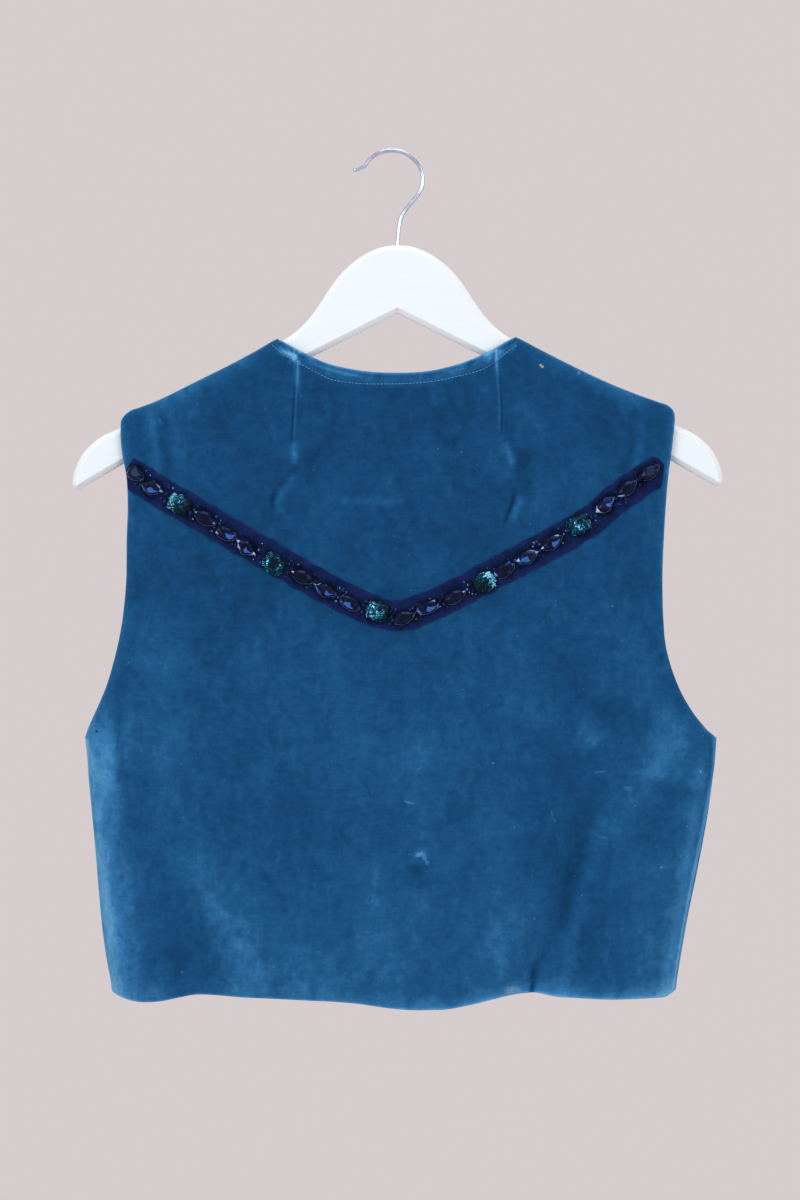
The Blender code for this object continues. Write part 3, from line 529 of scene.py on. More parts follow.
# Above 0.88 the seeds' colours paint glints
SEED_COLOURS = (
    (0, 0.002, 0.003, 0.010), (0.45, 0.005, 0.005, 0.040), (0.65, 0.012, 0.008, 0.085),
    (0.80, 0.008, 0.020, 0.14), (0.87, 0.006, 0.06, 0.08), (0.91, 0.07, 0.22, 0.62),
    (0.94, 0.34, 0.10, 0.02), (0.98, 0.50, 0.68, 0.84))


def smooth_line(points, per_span=12):
    """A Catmull-Rom line through the points, closely sampled."""
    points = np.array(points, dtype=float)
    ends = np.vstack([2 * points[0] - points[1], points, 2 * points[-1] - points[-2]])
    line = []
    for before, start, stop, after in zip(ends, ends[1:], ends[2:], ends[3:]):
        for s in np.linspace(0, 1, per_span, endpoint=False):
            bend = (2 * before - 5 * start + 4 * stop - after) * s ** 2
            twist = (3 * start - before - 3 * stop + after) * s ** 3
            line.append(0.5 * (2 * start + (stop - before) * s + bend + twist))
    line.append(points[-1])
    return np.array(line)


def along(line, fractions):
    """The points at these fractions of a line's length."""
    steps = np.linalg.norm(np.diff(line, axis=0), axis=1)
    run = np.concatenate([[0], np.cumsum(steps)]) / steps.sum()
    return np.stack([np.interp(fractions, run, line[:, axis]) for axis in range(line.shape[1])], axis=1)


def line_length(line):
    return float(np.linalg.norm(np.diff(line, axis=0), axis=1).sum())


def held(value):
    """A value kept between zero and one."""
    return np.clip(value, 0, 1)


def hill(distance, width):
    """One at no distance, falling softly to zero past the width."""
    return np.exp(-(distance / width) ** 2)


def hills(distance, table):
    """The sum of hills: height, place, width."""
    return sum(height * hill(distance - place, width) for height, place, width in table)


# The cloth's form, as in its solids

def section_at(z):
    """The body section's measures at a height."""
    table = np.array(SECTIONS)[::-1]
    return [float(np.interp(z, table[:, 0], table[:, column])) for column in range(1, table.shape[1])]


def section_curve(z, side, samples=700):
    """One side of the body's rounded section, from the left seam to the right."""
    left, right, back, front, left_seam, right_seam = section_at(z)
    half = (right - left) / 2
    depth = back if side == "back" else front
    out = -1 if side == "back" else 1
    turn = np.linspace(math.pi, 0, samples)
    across = np.sign(np.cos(turn)) * np.abs(np.cos(turn)) ** (2 / SECTION_POWER)
    away = out * depth * np.abs(np.sin(turn)) ** (2 / SECTION_POWER)
    curve = np.stack([(left + right) / 2 + half * across, away], axis=1)
    return trim_ends(curve, half, depth, out, (left_seam, right_seam))


def trim_ends(curve, half, depth, out, seams):
    """Cut the section where a seam is reached, or carry it round to a seam on the other side."""
    middle = len(curve) // 2
    pieces = []
    for part, seam in ((curve[:middle][::-1], seams[0]), (curve[middle:], seams[1])):
        reach = out * (seam + out * SEAM / 2)
        if reach > 0:
            keep = part[out * part[:, 1] > reach]
            end_x = np.interp(reach, out * part[::-1, 1], part[::-1, 0])
            part = np.vstack([keep, [[end_x, out * reach]]])
        else:
            steps = np.linspace(0, reach, TURN_POINTS)[1:]
            narrowing = 1 - (1 - (np.abs(steps) / depth) ** SECTION_POWER) ** (1 / SECTION_POWER)
            end = part[-1, 0]
            added = np.stack([end - math.copysign(half, end) * narrowing, out * steps], axis=1)
            part = np.vstack([part[:-1], added])
        pieces.append(part)
    return np.vstack([pieces[0][::-1], pieces[1]])


def back_fractions():
    """Column places across the back, closer together at the sides."""
    half = 0.5 * (np.arange(SIDE_COLUMNS + 1) / SIDE_COLUMNS) ** BACK_CROWDING
    return np.concatenate([half, 1 - half[-2::-1]])


def wrap(drop):
    """How far the cloth has come off the bar's top, as a share of the wrap's depth."""
    left_over = 1 - min(drop, WRAP_DROP) / WRAP_DROP
    return (1 - left_over ** WRAP_POWER) ** (1 / WRAP_POWER)


def armhole(points, seam_point, out):
    """The armhole edge in space: wrapped over the bar, then down to the side seam."""
    line = smooth_line(list(points) + [(seam_point[0], ARMPIT_Z)])
    steps = np.array(SHOULDER_DROPS) / SHOULDER_DROPS[-1]
    flat = along(line, steps)
    ease = held((steps - ARMHOLE_TURN) / (1 - ARMHOLE_TURN)) ** 2
    depth = WRAP_DEPTH + ARMHOLE_PUFF * np.sin(math.pi * steps)
    stand = np.array([wrap(drop) for drop in SHOULDER_DROPS]) * depth
    away = out * stand * (1 - ease) + seam_point[1] * ease
    return np.stack([flat[:, 0], away, flat[:, 1]], axis=1)


def filling(drop):
    """How far a yoke row at this drop has taken the body's depth."""
    return 1 - (1 - drop / SHOULDER_DROPS[-1]) ** FILL_POWER


def yoke(top, bottom, left, right, fractions, out):
    """Rows from the shoulder line down to the underarm, fitted to the edges on both sides."""
    rows = []
    for row, drop in enumerate(SHOULDER_DROPS):
        t = drop / SHOULDER_DROPS[-1]
        stand = np.abs(top[:, 1])
        shell = out * (stand + np.maximum(WRAP_DEPTH - stand, 0) * wrap(drop))
        loft = (1 - t) * top + t * bottom
        loft[:, 1] = (1 - filling(drop)) * shell + filling(drop) * bottom[:, 1]
        u = fractions[:, None]
        near_left = np.hstack([1 - u, (1 - u) ** EDGE_HOLD, 1 - u])
        near_right = np.hstack([u, u ** EDGE_HOLD, u])
        miss_left = left[row] - loft[0]
        miss_right = right[row] - loft[-1]
        rows.append(loft + near_left * miss_left + near_right * miss_right)
    return rows


def ease_underarm(grid, side_columns):
    """Round the bend at underarm height, away from the seams."""
    columns = np.arange(grid.shape[1])
    from_side = np.minimum.reduce([np.abs(columns - column) for column in side_columns])
    hold = held(from_side / HELD_COLUMNS)[None, :, None]
    low, high = UNDERARM_ROW - UNDERARM_REACH, UNDERARM_ROW + UNDERARM_REACH
    for _ in range(UNDERARM_PASSES):
        band = grid[low:high + 1]
        above = grid[low - 1:high]
        below = grid[low + 1:high + 2]
        upper_gap = (band - above)[:, :, 2:]
        lower_gap = (below - band)[:, :, 2:]
        share = upper_gap / (upper_gap + lower_gap)
        mean = above + share * (below - above)
        grid[low:high + 1, :, :2] += 0.5 * hold * (mean - band)[:, :, :2]
    return grid


def level_line(line, z):
    """Points in space of a section's line at one height."""
    return np.stack([line[:, 0], line[:, 1], np.full(len(line), z)], axis=1)


def back_grid():
    """The back without its folds, row by row from the shoulders to the hem."""
    fractions = back_fractions()
    last = len(fractions) - 1
    bottom = level_line(along(section_curve(ARMPIT_Z, "back"), fractions), ARMPIT_Z)
    neck = smooth_line(BACK_NECK)
    neck = neck[np.argsort(neck[:, 0])]
    shoulder_share = 1 - fractions[:NECK_COLUMN + 1] / fractions[NECK_COLUMN]
    top = np.zeros((last + 1, 3))
    top[:NECK_COLUMN + 1, [0, 2]] = along(smooth_line(LEFT_SHOULDER), shoulder_share)
    top[last - NECK_COLUMN:, [0, 2]] = along(smooth_line(RIGHT_SHOULDER), shoulder_share)[::-1]
    for step, (share, stand) in enumerate(zip(NECK_FRACTIONS, NECK_STAND)):
        sides = ((NECK_COLUMN + step, BACK_NECK[0][0]), (last - NECK_COLUMN - step, BACK_NECK[-1][0]))
        for column, end in sides:
            x = end * (1 - share)
            top[column] = (x, -stand, np.interp(x, neck[:, 0], neck[:, 1]))
    top[:NECK_COLUMN + 1, 1] = -SEAM / 2
    top[last - NECK_COLUMN:, 1] = -SEAM / 2
    left = armhole(LEFT_ARMHOLE, bottom[0], -1)
    right = armhole(RIGHT_ARMHOLE, bottom[-1], -1)
    rows = yoke(top, bottom, left, right, fractions, -1)
    rows[0][:, 1] = top[:, 1]
    hem = np.array(BACK_HEM)
    for step in BODY_STEPS:
        level = ARMPIT_Z + step * (HEM_Z - ARMPIT_Z)
        flat = along(section_curve(level, "back"), fractions)
        hem_z = np.interp(flat[:, 0], hem[:, 0], hem[:, 1])
        rows.append(level_line(flat, ARMPIT_Z + step * (hem_z - ARMPIT_Z)))
    return ease_underarm(np.array(rows), (0, last))


def front_grid(sign):
    """Left front where the sign is -1, right front where it is 1."""
    fractions = (np.arange(FRONT_COLUMNS + 1) / FRONT_COLUMNS) ** FRONT_CROWDING
    shoulder = LEFT_SHOULDER if sign < 0 else RIGHT_SHOULDER
    hole = LEFT_ARMHOLE if sign < 0 else RIGHT_ARMHOLE
    side_hem = BACK_HEM[0][1] if sign < 0 else BACK_HEM[-1][1]
    edge = [shoulder[0]] + [(-sign * x, z) for x, z in FRONT_EDGE] + [(sign * CENTRE_GAP, ARMPIT_Z)]

    def half_section(z):
        line = section_curve(z, "front")
        line = line if sign < 0 else line[::-1]
        keep = line[sign * line[:, 0] > CENTRE_GAP]
        return along(np.vstack([keep, [[sign * CENTRE_GAP, keep[-1, 1]]]]), fractions)

    bottom = level_line(half_section(ARMPIT_Z), ARMPIT_Z)
    tips = along(smooth_line(shoulder), 1 - fractions)
    top = np.stack([tips[:, 0], np.full(len(tips), SEAM / 2), tips[:, 1]], axis=1)
    outer_edge = armhole(hole, bottom[0], 1)
    flat_edge = along(smooth_line(edge), np.array(SHOULDER_DROPS) / SHOULDER_DROPS[-1])
    inner_edge = np.zeros((len(flat_edge), 3))
    inner_edge[:, [0, 2]] = flat_edge
    for row, drop in enumerate(SHOULDER_DROPS):
        inner_edge[row, 1] = (1 - filling(drop)) * WRAP_DEPTH * wrap(drop) + filling(drop) * bottom[-1, 1]
    rows = yoke(top, bottom, outer_edge, inner_edge, fractions, 1)
    rows[0][:, 1] = SEAM / 2
    for step in BODY_STEPS:
        flat = half_section(ARMPIT_Z + step * (HEM_Z - ARMPIT_Z))
        rise = (side_hem - FRONT_HEM_Z) * step * held(1 - fractions / HEM_RISE_END)
        rows.append(level_line(flat, ARMPIT_Z + step * (FRONT_HEM_Z - ARMPIT_Z) + rise))
    return ease_underarm(np.array(rows), (0,))


def grid_normals(grid, out):
    """Outward directions of a grid, not yet of unit length."""
    normals = np.cross(np.gradient(grid, axis=0), np.gradient(grid, axis=1))
    return normals * np.sign(np.sum(normals[:, :, 1] * out))


def neck_normals(grid, normals, columns):
    """Beside the neck points the cloth turns over the bar as the shoulder does."""
    for column in columns:
        for row in range(NECK_TURN):
            x, y, _ = grid[row, column]
            share = min(abs(y) / WRAP_DEPTH, 1)
            up = (1 - share ** WRAP_POWER) ** ((WRAP_POWER - 1) / WRAP_POWER)
            lean = math.copysign(SHOULDER_LEAN, x)
            normals[row, column] = (lean * up, -share ** (WRAP_POWER - 1), up * math.sqrt(1 - lean ** 2))


def settle_normals(normals, shoulder_columns, seam_columns):
    """Level with the seam plane along the shoulder and side seams, and of unit length."""
    normals[0, shoulder_columns, 1] = 0
    for column in seam_columns:
        normals[UNDERARM_ROW:, column, 1] = 0
    return normals / np.linalg.norm(normals, axis=2, keepdims=True)


# The fine cloth

def spline_slopes(values):
    """Slopes down the first axis that never carry the curve past its neighbours."""
    steps = np.diff(values, axis=0)
    before = np.concatenate([steps[:1], steps])
    after = np.concatenate([steps, steps[-1:]])
    bound = 3 * np.minimum(np.abs(before), np.abs(after))
    slopes = np.clip((before + after) / 2, -bound, bound)
    return np.where(before * after > 0, slopes, 0)


def resample(values, places):
    """Rows at fractional row numbers, on a smooth curve through the rows."""
    slopes = spline_slopes(values)
    low = np.minimum(places.astype(int), len(values) - 2)
    s = (places - low).reshape((-1,) + (1,) * (values.ndim - 1))
    start, stop = values[low], values[low + 1]
    level = start * (1 + 2 * s) * (1 - s) ** 2 + stop * s * s * (3 - 2 * s)
    return level + slopes[low] * s * (1 - s) ** 2 + slopes[low + 1] * s * s * (s - 1)


def fine_places(spans, near=None):
    """Fractional row or column numbers about a spacing apart, closer beside both borders."""
    last = len(spans)
    places = [last]
    for place, span in enumerate(spans):
        count = max(1, round(span / SPACING))
        places += [place + step / count for step in range(count)]
    if near is None:
        near = [step / spans[0] for step in BORDER_STEPS]
    far = [last - step / spans[-1] for step in BORDER_STEPS]
    inside = [place for place in places if near[-1] + 0.1 < place < min(far) - 0.1]
    return np.array(sorted(set(list(near) + inside + far)))


def with_dart(places, dart):
    """The column numbers with closer ones across a dart."""
    low, high = dart
    outside = [place for place in places if place < low or place > high]
    return np.array(sorted(outside + list(np.arange(low, high, DART_SPACING))))


def refine(grid, rows, columns, hard_sides):
    """A finer grid, its underarm kept a corner beside the sides named."""
    above, below = rows[rows <= UNDERARM_ROW], rows[rows > UNDERARM_ROW] - UNDERARM_ROW
    upper, lower = resample(grid[:UNDERARM_ROW + 1], above), resample(grid[UNDERARM_ROW:], below)
    numbers = np.arange(grid.shape[1])
    from_side = np.minimum.reduce([np.abs(numbers - side) for side in hard_sides])
    share = held(1 - from_side / HELD_COLUMNS)[None, :, None]
    fine = share * np.concatenate([upper, lower]) + (1 - share) * resample(grid, rows)
    return resample(fine.transpose(1, 0, 2), columns).transpose(1, 0, 2)


def edge_distances(grid):
    """Distances along the cloth from its top, bottom, left and right edges."""
    down = np.zeros(grid.shape[:2])
    down[1:] = np.cumsum(np.linalg.norm(np.diff(grid, axis=0), axis=2), axis=0)
    across = np.zeros(grid.shape[:2])
    across[:, 1:] = np.cumsum(np.linalg.norm(np.diff(grid, axis=1), axis=2), axis=1)
    return down, down[-1:] - down, across, across[:, -1:] - across


def stroke(x, z, path, per_span=6):
    """Every point's distance from a smooth line, and how far along the line it lies."""
    line = smooth_line(path, per_span)
    length = line_length(line)
    nearest = np.full(x.shape, np.inf)
    place = np.zeros(x.shape)
    run = 0
    for start, stop in zip(line, line[1:]):
        step = stop - start
        size = float(np.hypot(*step))
        s = held(((x - start[0]) * step[0] + (z - start[1]) * step[1]) / size ** 2)
        distance = np.hypot(x - start[0] - s * step[0], z - start[1] - s * step[1])
        closer = distance < nearest
        nearest = np.where(closer, distance, nearest)
        place = np.where(closer, (run + s * size) / length, place)
        run += size
    return nearest, place


def strokes(x, z, table, taper=0.3):
    """The sum of soft strokes: half width, height, then points, each fading at its ends."""
    total = np.zeros(x.shape)
    for half_width, height, *path in table:
        distance, place = stroke(x, z, path)
        ends = held(np.minimum(place, 1 - place) / taper)
        ends = ends * ends * (3 - 2 * ends)
        total += height * ends * hill(distance, half_width)
    return total


def folds(x, z):
    """How far the folds push the back outwards."""
    height = np.zeros(x.shape)
    for start_x, start_z, hem_x, half_width, hem_height in FOLDS:
        grown = held((z - start_z) / (HEM_Z - start_z))
        centre = start_x + (hem_x - start_x) * grown
        height += hem_height * grown * hill(x - centre, half_width)
    return height


def waves(x, z, seeds):
    """The slow uneven waves of the cloth, one table row after the other."""
    for (across, down, height), seed in zip(WAVES, seeds):
        flat = [noise.noise(Vector((a / across, b / down, seed))) for a, b in zip(x.ravel(), z.ravel())]
        yield height * np.array(flat).reshape(x.shape)


def edge_dip(distance):
    """How far a face of the cloth falls towards the middle of its thickness at an edge."""
    half = CLOTH / 2
    left_over = 1 - held(distance / half)
    return half * (1 - np.sqrt(1 - left_over ** 2))


def grid_quads(numbers):
    """The four corners of every cell of a grid of point numbers."""
    corners = (numbers[:-1, :-1], numbers[1:, :-1], numbers[1:, 1:], numbers[:-1, 1:])
    return np.stack(corners, axis=2).reshape(-1, 4)


def add_values(item, label, domain, values):
    """A named number for every point or face of a mesh."""
    layer = item.data.attributes.new(label, "FLOAT", domain)
    layer.data.foreach_set("value", np.array(values, dtype=np.float32))


class Sheet:
    """A fine closed wall of cloth on its solid's form."""

    def __init__(self, grid, normals, hard_sides, darts=()):
        rows = fine_places(np.linalg.norm(np.diff(grid[:, 0], axis=0), axis=1), TOP_ROWS)
        columns = fine_places(np.linalg.norm(np.diff(grid[UNDERARM_ROW], axis=0), axis=1))
        for dart in darts:
            columns = with_dart(columns, dart)
        self.columns = columns
        self.base = refine(grid, rows, columns, hard_sides)
        normals = refine(normals, rows, columns, hard_sides)
        self.normals = normals / np.linalg.norm(normals, axis=2, keepdims=True)
        self.top, self.bottom, self.left, self.right = edge_distances(self.base)
        self.x, self.z = self.base[:, :, 0], self.base[:, :, 2]

    def settled(self, at_side):
        """Nothing at a seam, growing to one away from it."""
        return held(at_side / SETTLED) * held(self.top / SETTLED)

    def split(self, at_side, inner_edge):
        """Distances from the open edges and from the side seams."""
        armhole_part = self.z > ARMPIT_Z
        open_edge = np.minimum.reduce([np.where(armhole_part, at_side, FAR), self.bottom, inner_edge])
        return open_edge, np.where(armhole_part, FAR, at_side)

    def shape(self, body, surface):
        """Move the whole wall by one height and its outer face alone by another."""
        border = np.minimum.reduce([self.top, self.bottom, self.left, self.right])
        dip = edge_dip(border)
        outer = body + surface * held(border / CALM_BORDER) - dip
        inner = body - CLOTH + dip
        self.outer = self.base + self.normals * outer[:, :, None]
        self.inner = self.base + self.normals * inner[:, :, None]

    def mesh(self, name, materials, nap_and_painted_light):
        """The outer face, the inner face and one shared line of points round the rim."""
        rows, columns = self.outer.shape[:2]
        index = np.arange(rows * columns).reshape(rows, columns)
        inside = np.zeros((rows, columns), dtype=bool)
        inside[1:-1, 1:-1] = True
        inner_index = index.copy()
        inner_index[inside] = rows * columns + np.arange(inside.sum())
        points = np.vstack([self.outer.reshape(-1, 3), self.inner[inside]])
        quads = [grid_quads(index), grid_quads(inner_index)[:, ::-1]]
        a, b, _, d = points[quads[0][len(quads[0]) // 2]]
        if np.dot(np.cross(b - a, d - a), self.normals[rows // 2, columns // 2]) < 0:
            quads = [quad[:, ::-1] for quad in quads]
        item = add_object(name, points, np.vstack(quads).tolist(), materials)
        item.data.polygons.foreach_set("material_index", [0] * len(quads[0]) + [1] * len(quads[1]))
        # Each point's pile level, with painted light and shade included
        add_values(item, "nap_and_painted_light", "POINT", np.concatenate([nap_and_painted_light.ravel(), nap_and_painted_light[inside]]))
        return item


def add_object(name, points, faces, materials, smooth=True, smooth_angle=None):
    """A named mesh object from points in millimetres."""
    mesh = bpy.data.meshes.new(name)
    mesh.from_pydata([tuple(point) for point in np.asarray(points) * MM], [], faces)
    mesh.update()
    for material in materials if isinstance(materials, (list, tuple)) else (materials,):
        mesh.materials.append(material)
    if smooth:
        mesh.shade_smooth()
    if smooth_angle:
        mesh.set_sharp_from_angle(angle=math.radians(smooth_angle))
    item = bpy.data.objects.new(name, mesh)
    bpy.context.collection.objects.link(item)
    return item


class Joined:
    """Many small forms gathered in one mesh, with a number kept for each face."""

    def __init__(self):
        self.points = []
        self.faces = []
        self.values = []

    def add(self, points, faces, values):
        start = len(self.points)
        self.points += [tuple(point) for point in points]
        self.faces += [[start + corner for corner in face] for face in faces]
        self.values += list(values)

    def mesh(self, name, material, smooth):
        item = add_object(name, self.points, self.faces, material, smooth)
        add_values(item, "tint", "FACE", self.values)
        return item


def edge_light(distance, behind=BEHIND_EDGE):
    """Painted sheen on a turned edge, and the fainter painted light behind it."""
    return hills(distance, (EDGE_LIGHT,)) + behind * hill(distance, BEHIND_WIDTH)


def dart_lines(sheet):
    """What the darts do to the surface, their painted light streaks and the painted shade along their seams.
    """
    surface, painted_streak, seam = np.zeros((3, *sheet.x.shape))
    for dart, light_side in DARTS:
        path = smooth_line(dart)
        distance, place = stroke(sheet.x, sheet.z, dart)
        ends = held((1 - place) / DART_FOOT) * held(sheet.top / DART_HEAD)
        for width, height in (DART_GROOVE, DART_PUFF):
            surface += ends * height * hill(distance, width)
        beside = (sheet.x - np.interp(-sheet.z, -path[:, 1], path[:, 0])) * light_side
        lit = hill(beside - DART_HIGHLIGHT[0], DART_HIGHLIGHT[1]) * (distance < DART_REACH)
        painted_streak += ends * lit * (STREAK_FADE[0] - STREAK_FADE[1] * place)
        seam += ends * hill(distance, DART_SEAM_SHADE[0]) * (SEAM_SHADE_GROWTH[0] + SEAM_SHADE_GROWTH[1] * place ** 2)
    return surface, painted_streak, seam


def make_back(materials):
    grid = back_grid()
    last = grid.shape[1] - 1
    normals = grid_normals(grid, -1)
    beside = [NECK_COLUMN + step for step in range(NECK_TURN)]
    neck_normals(grid, normals, beside + [last - column for column in beside])
    shoulders = list(range(NECK_COLUMN + 1)) + list(range(last - NECK_COLUMN, last + 1))
    normals = settle_normals(normals, shoulders, (0, last))
    mirrored = (last - DART_COLUMNS[1], last - DART_COLUMNS[0])
    sheet = Sheet(grid, normals, (0, last), (DART_COLUMNS, mirrored))
    x, z = sheet.x, sheet.z
    at_side = np.minimum(sheet.left, sheet.right)
    neck = (x > BACK_NECK[0][0]) & (x < BACK_NECK[-1][0])
    from_neck = np.where(neck, sheet.top, FAR)
    open_edge, side_seam = sheet.split(at_side, from_neck)

    body = folds(x, z) * held(np.minimum(sheet.columns, last - sheet.columns) / FOLD_COLUMNS)[None, :]
    body += strokes(x, z, BACK_CREASES) * sheet.settled(at_side)
    body += sum(wave * sheet.settled(at_side) for wave in waves(x, z, BACK_SEEDS))
    surface, painted_streak, seam = dart_lines(sheet)
    place, width, depth = NECK_RIM
    rim_line = hill(from_neck - place, width) * held(np.abs(x) / RIM_SIDES[0] - RIM_SIDES[1])
    surface -= depth * rim_line
    surface -= STITCH_DIP[1] * hill(stroke(x, z, NECK_STITCHES)[0], STITCH_DIP[0])
    surface += hills(open_edge, (EDGE_ROLL,))
    sheet.shape(body, surface)

    # The back's pile level: the strokes, partly lighter and darker pile and partly painted light and shade,
    # the pressed band at the neck, then painted sheen on the open edges, shoulders, hem and left side,
    # painted highlights and shade at the seams and darts, and painted shade under the neck's edge and along
    # its turning line
    nap_and_painted_light = strokes(x, z, PILE_AND_PAINTED_SHADING, taper=0.2)
    nap_and_painted_light += NECK_LIGHT * held((NECK_BAND - from_neck) / 2)
    nap_and_painted_light += hills(from_neck, (NECK_SHADE,))
    width, way, from_behind, from_hem = DULL_HEM
    hem_left = hill(sheet.bottom, width) * held(0.5 - x / way)
    behind = np.where(from_neck < NECK_BAND, BEHIND_NECK, BEHIND_EDGE - from_behind * hem_left)
    nap_and_painted_light += edge_light(open_edge, behind)
    nap_and_painted_light += hills(side_seam, SEAM_LIGHT) + DART_HIGHLIGHT[2] * painted_streak - DART_SEAM_SHADE[1] * seam - RIM_SHADE * rim_line
    nap_and_painted_light += hills(np.where(neck, FAR, sheet.top), SHOULDER_LIGHT)
    nap_and_painted_light += (HEM_LIGHT[0] - from_hem * hem_left) * hill(sheet.bottom, HEM_LIGHT[1])
    nap_and_painted_light += hills(np.where(z > ARMPIT_Z, FAR, sheet.left), (LEFT_TURN_LIGHT,))
    return sheet, sheet.mesh("vest_back", materials, nap_and_painted_light)


def make_front(name, sign, materials):
    grid = front_grid(sign)
    normals = settle_normals(grid_normals(grid, 1), list(range(grid.shape[1])), (0,))
    sheet = Sheet(grid, normals, (0,))
    x, z = sheet.x, sheet.z
    across, shift = (x, 0) if sign < 0 else (-x, FRONT_SHIFT)
    creases = strokes(across + shift, z + 2 * shift, FRONT_CREASES)
    open_edge, side_seam = sheet.split(sheet.left, sheet.right)
    body = creases * sheet.settled(sheet.left)
    body += sum(wave * sheet.settled(sheet.left) for wave in waves(x, z, FRONT_SEEDS))
    surface = hills(open_edge, (EDGE_ROLL,)) - hills(sheet.right, (FRONT_TURN,))
    corner = held(1 - sheet.left / CORNER[0]) * held(1 - sheet.bottom / CORNER[1])
    sheet.base[:, :, 2] += CORNER[2] * corner ** 2
    sheet.base[:, :, 1] -= hills(side_seam, (SEAM_CLOSED,))
    sheet.shape(body, surface)
    # Painted sheen on the open edges, painted light and shade at the side seam, and the creases painted light
    # on their ridges and dark in their troughs
    nap_and_painted_light = edge_light(open_edge) + hills(side_seam, SEAM_LIGHT) + hills(side_seam, (SIDE_LIGHT,))
    return sheet.mesh(name, materials, nap_and_painted_light + CREASE_SHADING * creases)


# Sewing and trim

def surface_finder(sheet):
    """A function that gives the point and outward direction of the cloth at (x, z)."""
    rows, columns = sheet.outer.shape[:2]
    quads = grid_quads(np.arange(rows * columns).reshape(rows, columns)).tolist()
    tree = BVHTree.FromPolygons([Vector(point) for point in sheet.outer.reshape(-1, 3)], quads)

    def find(x, z):
        hit, normal, _, _ = tree.ray_cast(Vector((x, -FAR, z)), Vector((0, 1, 0)))
        if hit is None:
            return None
        normal = np.array(normal)
        return np.array(hit), normal * np.sign(-normal[1])

    return find


def ring_quads(count, low, high):
    """The four corners of every face between two rings of points, by their first numbers."""
    pairs = [(step, (step + 1) % count) for step in range(count)]
    return [[low + step, low + ahead, high + ahead, high + step] for step, ahead in pairs]


def circle(count, offset=0):
    """Evenly spaced turns."""
    return [2 * math.pi * (step + offset) / count for step in range(count)]


def rod(start, stop, radius, sides=6):
    """A short rod with pointed round ends."""
    run = stop - start
    length = np.linalg.norm(run)
    run = run / length
    side = np.cross(run, (0, 0, 1) if abs(run[2]) < 0.9 else (1, 0, 0))
    side /= np.linalg.norm(side)
    up = np.cross(run, side)
    points = [start]
    for place, size in ROD_RINGS:
        for turn in circle(sides):
            aside = side * math.cos(turn) + up * math.sin(turn)
            points.append(start + run * length * place + radius * size * aside)
    points.append(stop)
    faces = []
    for step in range(sides):
        ahead = (step + 1) % sides
        faces.append([0, 1 + ahead, 1 + step])
        for low in range(1, 1 + 3 * sides, sides):
            faces.append([low + step, low + ahead, low + sides + ahead, low + sides + step])
        faces.append([len(points) - 1, 1 + 3 * sides + step, 1 + 3 * sides + ahead])
    return points, faces


def stitch_line(joined, find, path):
    """A row of stitches along a line on the cloth."""
    line = smooth_line(path)
    length = line_length(line)
    size, gap, radius, sunk = STITCH
    for step in range(int(length / (size + gap))):
        begin = step * (size + gap)
        found = [find(x, z) for x, z in along(line, [begin / length, (begin + size) / length])]
        if None in found:
            continue
        start, stop = [spot + normal * (radius - sunk) for spot, normal in found]
        points, faces = rod(start, stop, radius)
        joined.add(points, faces, [0.5] * len(faces))


def ribbon_frame(line, fraction):
    """A point of the ribbon's centreline with its direction and its crosswise direction."""
    here, before, after = along(line, [fraction, max(fraction - 0.006, 0), min(fraction + 0.006, 1)])
    ahead = (after - before) / np.linalg.norm(after - before)
    return here, ahead, np.array([-ahead[1], ahead[0]])


def closed_strip(rows, columns):
    """Faces over, under and round a strip: first the points above, row by row, then those below."""
    total = rows * columns
    faces = []
    for row in range(rows - 1):
        for column in range(columns - 1):
            corner = row * columns + column
            quad = [corner, corner + 1, corner + columns + 1, corner + columns]
            faces += [quad[::-1], [total + number for number in quad]]
    rim = list(range(columns))
    rim += [row * columns + columns - 1 for row in range(1, rows)]
    rim += [(rows - 1) * columns + column for column in range(columns - 2, -1, -1)]
    rim += [row * columns for row in range(rows - 2, 0, -1)]
    return faces + [[a, b, total + b, total + a] for a, b in zip(rim, rim[1:] + rim[:1])]


